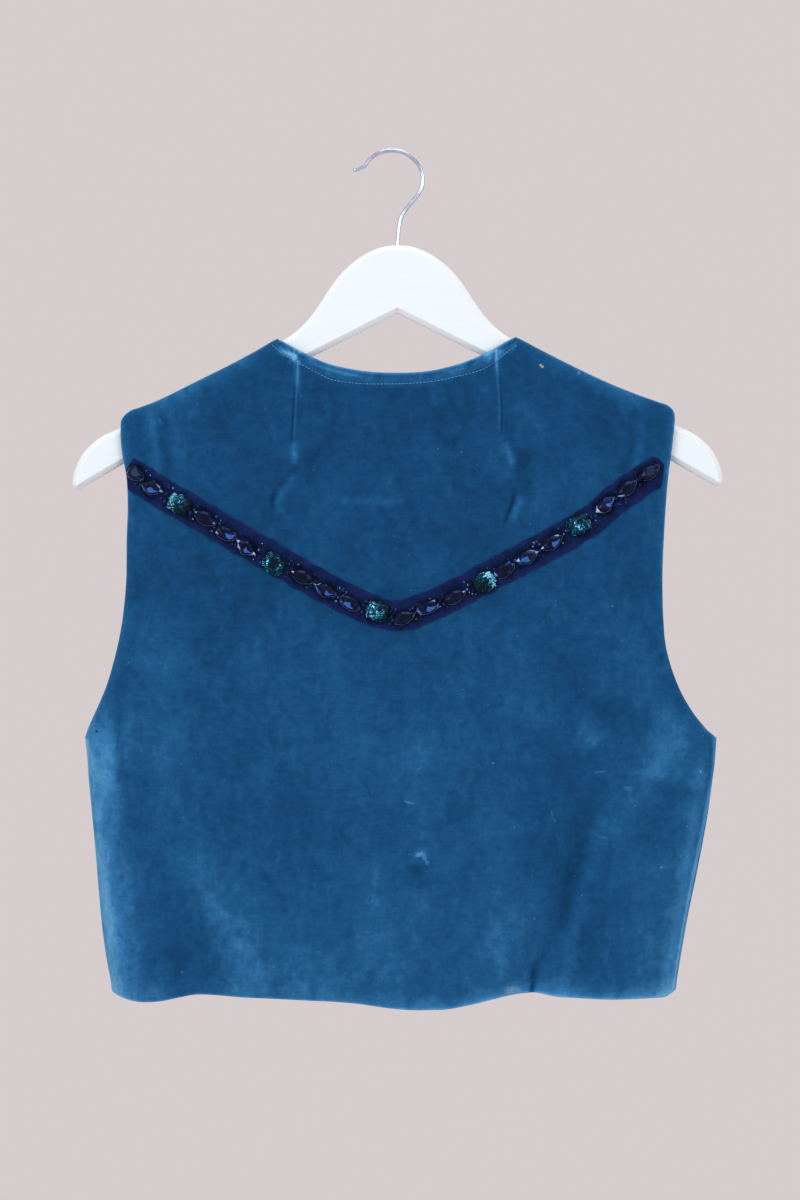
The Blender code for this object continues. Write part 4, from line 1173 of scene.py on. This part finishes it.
def make_ribbon(find, material):
    """A fine closed strip with soft, uneven edges."""
    line = smooth_line(TRIM_LINE)
    count = int(line_length(line) / RIBBON_STEP)
    half = TRIM_WIDTH / 2
    edges = [np.array(table)[::-1] for table in (LEFT_ARMHOLE, RIGHT_ARMHOLE)]
    upper, lower, marks, painted_shadows = [], [], [], []
    for step in range(count + 1):
        here, ahead, sideways = ribbon_frame(line, step / count)
        run = step * RIBBON_STEP
        to_end = min((count - step) * RIBBON_STEP / RIBBON_END + 0.02, 1)
        rounding = math.sqrt(1 - (1 - to_end) ** 2)
        for place in np.linspace(-1, 1, RIBBON_ROWS + 1):
            rim = abs(place) ** RIM_POWER
            seed = RIM_SEEDS[int(place > 0)]
            ruffle = noise.noise(Vector((run / RUFFLE_SIZE, seed, 0)))
            wander = RIM_WANDER * noise.noise(Vector((run / WANDER_SIZE, seed, 4)))
            x, z = here + sideways * place * (half * rounding + wander * rim)
            low, high = (np.interp(z, edge[:, 1], edge[:, 0]) for edge in edges)
            x = min(max(x, low + TRIM_MARGIN), high - RIBBON_SHORT)
            spot, normal = find(x, z)
            size, across, height = RIBBON_WAVE
            wave = noise.noise(Vector((run / size, place * across, 7)))
            lift = TRIM_OFF - RIBBON_SLACK + height * wave
            lift = max(lift + rim * (RIM_LIFT + RIM_RUFFLE * ruffle), RIBBON_LOWEST)
            thick = RIBBON_THICK * (1 - RIBBON_THINNING[0] * abs(place) ** RIBBON_THINNING[1])
            lower.append(spot + normal * lift)
            upper.append(spot + normal * (lift + thick))
            marks.append(rim)
            painted_shadows.append(painted_bead_shadow(x, z, ahead))
    faces = closed_strip(count + 1, RIBBON_ROWS + 1)
    ribbon = add_object("trim_ribbon", np.array(upper + lower), faces, material, smooth_angle=60)
    tidy_faces(ribbon)
    add_values(ribbon, "rim", "POINT", marks * 2)
    add_values(ribbon, "shade", "POINT", painted_shadows * 2)
    return ribbon


def painted_bead_shadow(x, z, ahead):
    """How dark the painted shadow on the ribbon is close round the large beads."""
    nearest = FAR
    for bead_x, bead_z, kind, _ in BEADS:
        half_length, half_width = BEAD_KINDS[kind][:2]
        run = (x - bead_x) * ahead[0] + (z - bead_z) * ahead[1]
        side = (z - bead_z) * ahead[0] - (x - bead_x) * ahead[1]
        distance = math.hypot(run / (half_length + SHADE_MARGIN), side / (half_width + SHADE_MARGIN))
        nearest = min(nearest, distance)
    return min(max((SHADE_END - nearest) / SHADE_FADE, 0), 1)


def tidy_faces(item):
    """Faces turned outwards all round."""
    work = bmesh.new()
    work.from_mesh(item.data)
    bmesh.ops.recalc_face_normals(work, faces=work.faces)
    work.to_mesh(item.data)
    work.free()


def bead_points(kind):
    """Rings of a faceted bead, in its own frame: foot, girdle, its polished edge, crown and table."""
    half_length, half_width, power, sides, narrowing, height = BEAD_KINDS[kind]
    profile = (
        (0.9, 0.1, 0), (1, 0.5, 0), (1, GIRDLE, 0), (0.96, GIRDLE + 0.3, 0),
        (0.78, 0.7 * height, 0.5), (0.5, height - 0.1, 0), (0.46, height, 0))
    rings = []
    for size, level, offset in profile:
        ring = []
        for turn in circle(sides, offset):
            c, s = math.cos(turn), math.sin(turn)
            x = half_length * math.copysign(abs(c) ** (2 / power), c) if abs(c) > 1e-9 else 0
            y = half_width * math.copysign(abs(s) ** (2 / power), s) if abs(s) > 1e-9 else 0
            y *= 1 - narrowing * x / half_length
            ring.append((x * size, y * size, level))
        rings.append(ring)
    return rings


def flashes(turn, flash):
    """Whether the facet at this turn is one of those painted with a reflection."""
    return flash is not None and math.cos(turn - flash) > FLASH_SPREAD


def facet_tint(turn, upper, flash, randoms):
    """Dark, but on beads that flash a facet gets a painted blue reflection, and the ends get painted
    sparkles.
    """
    chance = SPARKLE_CHANCES[int(flash is not None)]
    if not upper and abs(math.cos(turn)) > FLASH_SPREAD and randoms.random() < chance:
        return randoms.choice(PAINTED_SPARKLES)
    if upper and flashes(turn, flash):
        return TINTS["flash"]
    return TINTS["facet"] * randoms.random()


def faceted_bead(kind, flash, randoms):
    """Points, faces and a tint for each facet."""
    rings = bead_points(kind)
    sides = len(rings[0])
    points = [point for ring in rings for point in ring] + [(0, 0, BEAD_KINDS[kind][5])]
    turns = circle(sides, 0.5)
    faces = [list(range(sides))[::-1]]
    tints = [0.1]

    def band(ring, tint):
        faces.extend(ring_quads(sides, ring * sides, (ring + 1) * sides))
        tints.extend([tint(turn) for turn in turns])

    band(0, lambda turn: TINTS["foot"] * randoms.random())
    band(1, lambda turn: TINTS["foot"] * randoms.random())
    # The girdle's side towards the light gets a painted highlight
    band(2, lambda turn: TINTS["lit" if math.cos(turn - GIRDLE_LIGHT) > GIRDLE_SPREAD else "girdle"])
    girdle, crown, table = 3 * sides, 4 * sides, 5 * sides
    for step, turn in enumerate(turns):
        ahead = (step + 1) % sides
        faces.append([girdle + step, girdle + ahead, crown + step])
        faces.append([crown + step, girdle + ahead, crown + ahead])
        faces.append([crown + step, crown + ahead, table + ahead])
        faces.append([crown + step, table + ahead, table + step])
        tints += [facet_tint(turn, upper, flash, randoms) for upper in (False, False, True, True)]
    # Round the table: a faint painted highlight, or a painted reflection where the bead flashes
    band(5, lambda turn: TINTS["flash" if flashes(turn, flash) else "ring"])
    face_tint = TINTS["table"] * randoms.random()
    for step, turn in enumerate(turns):
        faces.append([6 * sides + step, 6 * sides + (step + 1) % sides, len(points) - 1])
        tints.append(TINTS["bright table"] if flashes(turn, flash) else face_tint)
    return points, faces, tints


def glitter_tints(points, faces, bright_side, swing, centre):
    """A level for each facet: brighter to one side, and its own at the centre."""
    half_length, half_width = BEAD_KINDS["octagon"][:2]
    way = math.radians(bright_side)
    levels = []
    for face in faces:
        x, y = np.mean([points[corner][:2] for corner in face], axis=0)
        across = (x * math.cos(way) + y * math.sin(way)) / half_length
        from_centre = math.hypot(x / half_length, y / half_width)
        levels.append(0.5 + 1.6 * swing * across + centre * max(1 - 1.6 * from_centre, 0))
    return levels


def place_points(points, spot, normal, ahead, turn):
    """Points of a small form set on the cloth, its length along the ribbon's run."""
    ahead = np.array([ahead[0], 0, ahead[1]])
    ahead = ahead - np.dot(ahead, normal) * normal
    ahead /= np.linalg.norm(ahead)
    side = np.cross(normal, ahead)
    c, s = math.cos(turn), math.sin(turn)
    first, second = ahead * c + side * s, side * c - ahead * s
    return [spot + first * x + second * y + normal * z for x, y, z in points]


def nearest_run(line, x, z):
    """The fraction of the ribbon's length beside a point."""
    fractions = np.linspace(0, 1, 900)
    places = along(line, fractions)
    return fractions[np.argmin(np.hypot(places[:, 0] - x, places[:, 1] - z))]


def make_beads(find, dark, glitter):
    line = smooth_line(TRIM_LINE)
    randoms = random.Random(11)
    stones, squares = Joined(), Joined()
    glitters = iter(GLITTER)
    for number, (x, z, kind, degrees) in enumerate(BEADS):
        ahead = ribbon_frame(line, nearest_run(line, x, z))[1]
        spot, normal = find(x, z)
        spot = spot + normal * (TRIM_OFF + TRIM_THICK - BEAD_SUNK)
        flash = math.radians(randoms.uniform(*FLASH_WAYS)) if number in FLASHING else None
        points, faces, tints = faceted_bead(kind, flash, randoms)
        if kind == "octagon":
            tints = glitter_tints(points, faces, *next(glitters))
        placed = place_points(points, spot, normal, ahead, math.radians(degrees))
        (squares if kind == "octagon" else stones).add(placed, faces, tints)
    return stones.mesh("trim_beads", dark, False), squares.mesh("trim_glitter_beads", glitter, False)


def torus(outer, tube, tilt, around=SEED_AROUND, across=SEED_ACROSS):
    """A ring of glass, tilted about its first axis."""
    points, faces = [], []
    for i, a in enumerate(circle(around)):
        for j, b in enumerate(circle(across)):
            reach = outer + tube * math.cos(b)
            y, z = reach * math.sin(a), tube * math.sin(b)
            c, s = math.cos(tilt), math.sin(tilt)
            points.append((reach * math.cos(a), y * c - z * s, y * s + z * c))
            here, there = i * across, ((i + 1) % around) * across
            ahead = (j + 1) % across
            faces.append([here + j, there + j, there + ahead, here + ahead])
    return points, faces


def clear_of_beads(x, z):
    """Whether a seed bead's place lies outside the large beads."""
    return all(math.hypot(x - bead[0], z - bead[1]) > SEED_CLEAR * BEAD_KINDS[bead[2]][0] for bead in BEADS)


def seed_places(here, ahead, sideways, randoms):
    """Places for the seeds of one junction, along and across the ribbon."""
    placed = []
    for _ in range(SEED_TRIES):
        if len(placed) >= randoms.choice(SEED_COUNTS):
            break
        run = randoms.gauss(0, SEED_SPREAD)
        side = randoms.uniform(-SEED_REACH, SEED_REACH)
        apart = all(math.hypot(run - a, side - b) > SEED_PITCH for a, b in placed)
        if apart and clear_of_beads(*(here + ahead * run + sideways * side)):
            placed.append((run, side))
    return placed


def make_seeds(find, material):
    """Small glass beads between the large ones."""
    line = smooth_line(TRIM_LINE)
    randoms = random.Random(4)
    seeds = Joined()
    runs = [nearest_run(line, x, z) for x, z, _, _ in BEADS]
    for number, (low, high) in enumerate(zip(runs, runs[1:])):
        here, ahead, sideways = ribbon_frame(line, (low + high) / 2)
        offset = (BEADS[number][1] + BEADS[number + 1][1]) / 2 - here[1]
        for run, side in seed_places(here, ahead, sideways, randoms):
            found = find(*(here + ahead * run + sideways * (side + 0.5 * offset)))
            if found is None:
                continue
            spot, normal = found
            size = randoms.uniform(0.85, 1.15)
            points, faces = torus(SEED_SIZE[0] * size, SEED_SIZE[1] * size, randoms.uniform(-0.9, 0.9))
            spot = spot + normal * (TRIM_OFF + TRIM_THICK + SEED_LIFT)
            turned = place_points(points, spot, normal, ahead, randoms.uniform(0, 3.1))
            tints = [TINTS["seed"] * randoms.random()] * len(faces)
            # Three faces of each seed are painted with a glint
            glint = randoms.randrange(len(faces))
            for face in (glint, glint + 1, glint + SEED_ACROSS):
                tints[face % len(faces)] = randoms.choice(PAINTED_SEED_GLINTS)
            seeds.add(turned, faces, tints)
    return seeds.mesh("trim_seed_beads", material, True)


# Hanger

def board_outline():
    """The board's fine outline, clockwise from the middle of its top."""
    top = smooth_line(BAR_TOP + BAR_TIP + BAR_UNDER[:1], per_span=5)
    under = []
    for start, stop in zip(BAR_UNDER, BAR_UNDER[1:]):
        count = max(2, int(math.dist(start, stop) / UNDER_SPACING))
        start, stop = np.array(start), np.array(stop)
        under += [tuple(start + (stop - start) * s / count) for s in range(1, count + 1)]
    right = [tuple(point) for point in top] + under
    left = [(-x, z) for x, z in right[-2:0:-1]]
    outline = np.array(right + left)
    outline[:, 1] += np.tan(BAR_TILT) * outline[:, 0]
    return outline


def inset(outline, distances):
    """The outline moved inwards, its corners mitred."""
    sides = []
    for run in (outline - np.roll(outline, 1, axis=0), np.roll(outline, -1, axis=0) - outline):
        run /= np.linalg.norm(run, axis=1, keepdims=True)
        sides.append(np.stack([run[:, 1], -run[:, 0]], axis=1))
    mitre = sides[0] + sides[1]
    mitre /= np.sum(mitre * sides[0], axis=1, keepdims=True)
    return outline + distances[:, None] * mitre


def round_limits(outline):
    """How far the rounding may come in at each point, less at the tight ends."""
    before = outline - np.roll(outline, 3, axis=0)
    after = np.roll(outline, -3, axis=0) - outline
    cross = after[:, 0] * before[:, 1] - after[:, 1] * before[:, 0]
    sine = cross / np.linalg.norm(before, axis=1) / np.linalg.norm(after, axis=1)
    turn = np.arcsin(np.clip(sine, -1, 1))
    radius = np.linalg.norm(before + after, axis=1) / 2 / np.maximum(turn, 1e-3)
    limits = np.minimum(BAR_ROUND, 0.8 * radius)
    for _ in range(3):
        limits = np.minimum.reduce([limits, np.roll(limits, 1), np.roll(limits, -1)])
    for _ in range(6):
        limits = (np.roll(limits, 1) + limits + np.roll(limits, -1)) / 3
    return limits


def make_board(material):
    outline = board_outline()
    limits = round_limits(outline)
    half = BAR_THICKNESS / 2
    rings = []
    for turn in np.linspace(0, math.pi / 2, 9):
        bevel = turn / (math.pi / 2)
        down = BAR_FLAT * (1 - bevel) + (1 - BAR_FLAT) * (1 - math.sin(turn))
        aside = BAR_FLAT * bevel + (1 - BAR_FLAT) * (1 - math.cos(turn))
        rings.append((-half + BAR_ROUND * down, aside))
    rings.append((-half, BAR_FACE))
    rings = rings[::-1] + [(-y, amount) for y, amount in rings]
    count = len(outline)
    points = [(x, y, z) for y, amount in rings for x, z in inset(outline, amount * limits)]
    faces = [list(range(count))[::-1]]
    for low in range(0, len(points) - count, count):
        faces += ring_quads(count, low, low + count)
    faces.append(list(range(len(points) - count, len(points))))
    board = add_object("hanger_board", points, faces, material, smooth_angle=40)
    tidy_faces(board)
    cut_holes(board)
    return board


def cut_holes(board):
    """The bore for the hook's shank and a nail hole at the foot of the V."""
    for radius, depth, place in DRILLS:
        place = Vector(place) * MM
        bpy.ops.mesh.primitive_cylinder_add(vertices=24, radius=radius * MM, depth=depth * MM, location=place)
        cutter = bpy.context.active_object
        hole = board.modifiers.new("hole", "BOOLEAN")
        hole.operation = "DIFFERENCE"
        hole.object = cutter
        bpy.context.view_layer.update()
        cut = bpy.data.meshes.new_from_object(board.evaluated_get(bpy.context.evaluated_depsgraph_get()))
        board.modifiers.clear()
        board.data = cut
        bpy.data.objects.remove(cutter, do_unlink=True)


def make_wire(material):
    """The hook's round wire with a rounded tip."""
    line = along(smooth_line(HOOK_LINE), np.linspace(0, 1, WIRE_STEPS))
    last = len(line) - 1
    bump_x, bump_z, reach, rise = WIRE_BUMP
    points, faces = [], []
    for step, (x, z) in enumerate(line):
        from_tip = line_length(line[step:]) if step < last else 0
        size = math.sqrt(max(1 - (1 - min(from_tip / WIRE_TIP, 1)) ** 2, 0.06))
        size += rise * math.exp(-(math.dist((x, z), (bump_x, bump_z)) / reach) ** 2)
        before, after = line[max(step - 1, 0)], line[min(step + 1, last)]
        run = (after - before) / np.linalg.norm(after - before)
        for turn in circle(WIRE_SIDES):
            out = WIRE / 2 * size * math.cos(turn)
            points.append((x - run[1] * out, WIRE / 2 * size * math.sin(turn), z + run[0] * out))
        if step < last:
            faces += ring_quads(WIRE_SIDES, step * WIRE_SIDES, (step + 1) * WIRE_SIDES)
    faces.append(list(range(WIRE_SIDES)))
    faces.append(list(range(last * WIRE_SIDES, (last + 1) * WIRE_SIDES)))
    wire = add_object("hanger_wire", points, faces, material, smooth_angle=60)
    tidy_faces(wire)
    return wire


# Materials

class Nodes:
    """Short calls for building a material's nodes."""

    def __init__(self, name):
        self.material = bpy.data.materials.new(name)
        self.material.use_nodes = True
        self.tree = self.material.node_tree
        self.shader = self.tree.nodes["Principled BSDF"]

    def feed(self, socket, value):
        """Link an output to a socket, or set the socket to a constant."""
        if isinstance(value, bpy.types.NodeSocket):
            self.tree.links.new(value, socket)
        else:
            socket.default_value = value

    def add(self, kind, inputs=None, **settings):
        """A node with its settings, and its inputs fed by name or number."""
        node = self.tree.nodes.new(kind)
        for name, value in settings.items():
            setattr(node, name, value)
        for name, value in (inputs or {}).items():
            self.feed(node.inputs[name], value)
        return node

    def place(self, scale):
        """Coordinates fixed to the object, scaled per metre by one number or by axis."""
        scale = scale if isinstance(scale, tuple) else (scale,) * 3
        source = self.add("ShaderNodeTexCoord").outputs["Object"]
        return self.add("ShaderNodeMapping", {"Vector": source, "Scale": scale}).outputs["Vector"]

    def texture(self, kind, scale, inputs=None, **settings):
        """A texture on those coordinates."""
        return self.add(kind, {"Scale": 1, "Vector": self.place(scale), **(inputs or {})}, **settings)

    def noise(self, scale, detail=3, roughness=0.55, distortion=0):
        inputs = {"Detail": detail, "Roughness": roughness, "Distortion": distortion}
        return self.texture("ShaderNodeTexNoise", scale, inputs).outputs["Fac"]

    def picked(self, scale):
        """A random value for every cell, and the distance from the cell's middle."""
        cells = self.texture("ShaderNodeTexVoronoi", scale)
        parts = self.add("ShaderNodeSeparateColor", {"Color": cells.outputs["Color"]})
        return parts.outputs, cells.outputs["Distance"]

    def attribute(self, name):
        return self.add("ShaderNodeAttribute", attribute_name=name).outputs["Fac"]

    def maths(self, operation, first, second):
        return self.add("ShaderNodeMath", {0: first, 1: second}, operation=operation).outputs["Value"]

    def times(self, value, amount):
        return self.maths("MULTIPLY", value, amount)

    def total(self, value, *others):
        """The values added one after the other."""
        for other in others:
            value = self.maths("ADD", value, other)
        return value

    def swing(self, value, amount):
        """A noise value made to swing evenly about zero."""
        return self.times(self.maths("SUBTRACT", value, 0.5), amount)

    def ramp(self, value, *stops):
        """Stops are a position and a colour, or a position and a level of grey."""
        node = self.add("ShaderNodeValToRGB", {"Fac": value})
        places = node.color_ramp.elements
        while len(places) < len(stops):
            places.new(0.5)
        for element, (position, *colour) in zip(places, stops):
            element.position = position
            element.color = (*(colour * 3)[:3], 1)
        return node.outputs["Color"]

    def mottle(self, scale, detail, low, high):
        """A soft unevenness between two colours or two levels."""
        return self.ramp(self.noise(scale, detail), (0.3, *low), (0.7, *high))

    def specks(self):
        """Sparse tiny bright points, like lint in the pile."""
        random_values, distance = self.picked(SPECK_SCALE)
        few = self.maths("GREATER_THAN", random_values["Red"], 0.72)
        return self.times(self.times(few, self.maths("LESS_THAN", distance, 0.045)), 1.6)

    def wandering(self, amount):
        """Coordinates nudged about by noise, for ragged outlines."""
        cloud = self.texture("ShaderNodeTexNoise", 900).outputs["Color"]
        centred = self.add("ShaderNodeVectorMath", {0: cloud, 1: (0.5,) * 3}, operation="SUBTRACT")
        inputs = {0: centred.outputs["Vector"], 1: (2 * amount,) * 3, 2: self.place(1)}
        return self.add("ShaderNodeVectorMath", inputs, operation="MULTIPLY_ADD").outputs["Vector"]

    def spot(self, where, x, z, length, width, degrees):
        """A soft oval mask at a place seen along Y: sizes in millimetres."""
        local = self.add("ShaderNodeMapping", {
            "Vector": where, "Location": (x * MM, 0, z * MM), "Scale": (length * MM, 1, width * MM),
            "Rotation": (0, -math.radians(degrees), 0)}, vector_type="TEXTURE")
        size = self.add("ShaderNodeVectorMath", {0: local.outputs["Vector"]}, operation="LENGTH")
        inputs = {"Value": size.outputs["Value"], "From Min": 1.25, "From Max": 0.45}
        return self.add("ShaderNodeMapRange", inputs, interpolation_type="SMOOTHSTEP").outputs["Result"]

    def blend(self, amount, under, over):
        """One colour laid over another."""
        inputs = {"Factor": amount, "A": under, "B": (*over, 1)}
        return self.add("ShaderNodeMix", inputs, data_type="RGBA").outputs["Result"]

    def bump(self, height, distance, strength=1):
        inputs = {"Height": height, "Distance": distance, "Strength": strength}
        self.feed(self.shader.inputs["Normal"], self.add("ShaderNodeBump", inputs).outputs["Normal"])

    def finish(self, **values):
        """The material, with the shader's sockets fed by name."""
        for name, value in values.items():
            self.feed(self.shader.inputs[name.replace("_", " ")], value)
        return self.material


def velvet(name, marks=(), spots=()):
    """Short pile in patches, with a faint weave, and marks on the back alone."""
    look = Nodes(name)
    # The pile level from the mesh brings painted light and shade as well as the pile's own tone
    level = look.attribute("nap_and_painted_light")
    for scale, detail, amount in PILE_PATCHES:
        level = look.total(level, look.swing(look.noise(scale, detail, 0.6, 0.5), amount))
    pile = look.noise((2600, 2600, 1900), 2, 0.7)
    level = look.total(level, look.swing(pile, 1.1), look.specks())
    where = look.wandering(MARK_WANDER) if marks else None
    for *shape, strength in marks:
        level = look.total(level, look.times(look.spot(where, *shape), strength))
    colour = look.ramp(look.total(look.times(level, 0.2), 0.355), *VELVET_COLOURS)
    for *shape, tint in spots:
        rough_mask = look.times(look.spot(where, *shape), look.noise(700, 3, 0.7))
        colour = look.blend(look.maths("MINIMUM", look.times(rough_mask, 1.6), 1), colour, tint)
    look.bump(pile, 0.0004, 0.5)
    return look.finish(
        Base_Color=colour, Roughness=0.95, Specular_IOR_Level=0.03,
        Sheen_Weight=0.8, Sheen_Roughness=0.35, Sheen_Tint=(0.10, 0.42, 0.72, 1))


def cloth_inside():
    look = Nodes("velvet_reverse")
    weave = look.texture("ShaderNodeTexWave", (0, 0, 700), wave_type="BANDS", bands_direction="Z")
    weave = weave.outputs["Fac"]
    fibre = look.noise(500, 3)
    level = look.total(look.times(weave, 0.3), fibre)
    look.bump(look.total(weave, fibre), 0.0002)
    return look.finish(
        Base_Color=look.ramp(level, (0.2, 0.006, 0.040, 0.11), (1, 0.018, 0.085, 0.19)),
        Roughness=0.9, Sheen_Weight=0.1, Specular_IOR_Level=0.1)


def thread():
    look = Nodes("pale_blue_thread")
    look.bump(look.noise(4000, 1), 0.0001)
    return look.finish(Base_Color=look.mottle(900, 2, (0.05, 0.20, 0.40), (0.17, 0.42, 0.66)), Roughness=0.6)


def net_ribbon():
    look = Nodes("net_ribbon")
    cells = look.texture("ShaderNodeTexVoronoi", 900, feature="DISTANCE_TO_EDGE")
    net = look.ramp(cells.outputs["Distance"], (0.05, 0), (0.35, 1))
    level = look.total(look.times(net, 0.18), look.swing(look.noise(120), 1.3))
    level = look.total(level, 0.42, look.times(look.attribute("rim"), 0.3))
    # Darker under the shadow painted round the beads
    level = look.maths("SUBTRACT", level, look.times(look.attribute("shade"), 0.22))
    look.bump(net, 0.0003)
    return look.finish(
        Base_Color=look.ramp(level, *RIBBON_COLOURS), Roughness=0.8, Specular_IOR_Level=0.06,
        Sheen_Weight=0.15, Sheen_Roughness=0.4, Sheen_Tint=(0.15, 0.16, 0.7, 1))


def dark_glass():
    look = Nodes("dark_glass")
    tint = look.attribute("tint")
    return look.finish(
        Base_Color=look.ramp(tint, *DARK_GLASS_COLOURS), Metallic=look.ramp(tint, (0.76, 0), (0.8, 0.4)),
        Roughness=look.mottle(300, 2, (0.05,), (0.13,)),
        Specular_Tint=(0.30, 0.42, 1, 1), Specular_IOR_Level=0.3)


def glitter_glass():
    look = Nodes("glitter_glass")
    grains = look.picked(1300)[0]
    level = look.total(
        look.times(grains["Red"], 0.9), look.swing(look.noise(190, 2), 1.2),
        look.maths("SUBTRACT", look.attribute("tint"), 0.5))
    look.bump(grains["Green"], 0.0003, 0.5)
    return look.finish(
        Base_Color=look.ramp(level, *GLITTER_COLOURS), Metallic=look.ramp(level, (0.5, 0), (0.7, 0.4)),
        Roughness=0.2, Specular_Tint=(0.3, 0.6, 1, 1), Specular_IOR_Level=0.3)


def seed_glass():
    look = Nodes("seed_glass")
    return look.finish(
        Base_Color=look.ramp(look.attribute("tint"), *SEED_COLOURS),
        Roughness=look.mottle(400, 2, (0.06,), (0.12,)), Specular_Tint=(0.35, 0.5, 1, 1))


def white_paint():
    look = Nodes("white_paint")
    grain = look.noise((30, 300, 300), 3)
    look.bump(grain, 0.0001, 0.4)
    return look.finish(
        Base_Color=look.ramp(grain, (0.3, 0.88, 0.935, 0.97), (0.7, 0.90, 0.955, 0.985)),
        Roughness=look.mottle(60, 2, (0.36,), (0.46,)))


def chrome():
    look = Nodes("chrome")
    return look.finish(
        Base_Color=look.mottle((200, 200, 90), 3, (0.50, 0.57, 0.68), (0.68, 0.76, 0.88)),
        Roughness=look.mottle(500, 3, (0.10,), (0.24,)), Metallic=1)


def floor_paint():
    look = Nodes("pale_floor")
    return look.finish(
        Base_Color=look.mottle(3, 2, (0.66, 0.60, 0.605), (0.68, 0.615, 0.62)), Roughness=0.9)


# Set

def make_floor():
    mesh = bpy.data.meshes.new("floor")
    work = bmesh.new()
    bmesh.ops.create_circle(work, cap_ends=True, segments=96, radius=FLOOR_RADIUS)
    bmesh.ops.translate(work, verts=work.verts, vec=(0, 0, FLOOR_Z))
    work.to_mesh(mesh)
    work.free()
    mesh.materials.append(floor_paint())
    floor = bpy.data.objects.new("floor", mesh)
    bpy.context.collection.objects.link(floor)
    floor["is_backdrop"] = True


def soft_light(name, place, target, size, power, colour):
    data = bpy.data.lights.new(name, "AREA")
    data.shape = "DISK"
    data.size = size
    data.energy = power
    data.color = colour
    light = bpy.data.objects.new(name, data)
    light.location = place
    light.rotation_euler = (Vector(target) - Vector(place)).to_track_quat("-Z", "Y").to_euler()
    bpy.context.collection.objects.link(light)


def make_set():
    scene = bpy.context.scene
    scene.view_settings.view_transform = "Standard"
    world = bpy.data.worlds.new("studio")
    world.use_nodes = True
    backdrop = world.node_tree.nodes["Background"]
    backdrop.inputs["Color"].default_value = (*BACKGROUND, 1)
    backdrop.inputs["Strength"].default_value = 1
    scene.world = world
    for light in LIGHTS:
        soft_light(*light)
    camera = bpy.data.cameras.new("camera")
    camera.sensor_fit = "VERTICAL"
    camera.sensor_height = 36
    camera.lens = camera.sensor_height * abs(CAMERA[1]) / FRAME_HEIGHT
    viewer = bpy.data.objects.new("camera", camera)
    viewer.location = CAMERA
    viewer.rotation_euler = (math.radians(90), 0, 0)
    bpy.context.collection.objects.link(viewer)
    scene.camera = viewer


def main():
    make_set()
    make_floor()
    outside, inside = velvet("cotton_velvet"), cloth_inside()
    back_sheet, back = make_back([velvet("worn_cotton_velvet", MARKS, SPOTS), inside])
    left = make_front("vest_front_left", -1, [outside, inside])
    right = make_front("vest_front_right", 1, [outside, inside])

    find_back = surface_finder(back_sheet)
    stitches = Joined()
    stitch_line(stitches, find_back, NECK_STITCHES)
    neck_stitches = stitches.mesh("neck_stitches", thread(), True)

    ribbon = make_ribbon(find_back, net_ribbon())
    beads, glitter_beads = make_beads(find_back, dark_glass(), glitter_glass())
    seeds = make_seeds(find_back, seed_glass())
    board = make_board(white_paint())
    wire = make_wire(chrome())

    for piece, node in ((back, "back_panel"), (left, "front_left"), (right, "front_right"),
                        (ribbon, "bead_trim"), (board, "hanger_bar"), (wire, "hanger_hook")):
        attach(piece, "root")
        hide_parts(node)
    for piece in (neck_stitches, beads, glitter_beads, seeds):
        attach(piece, "root")


main()
lists = [[list(corner) for corner in box] for box in (cad_bounds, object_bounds())]
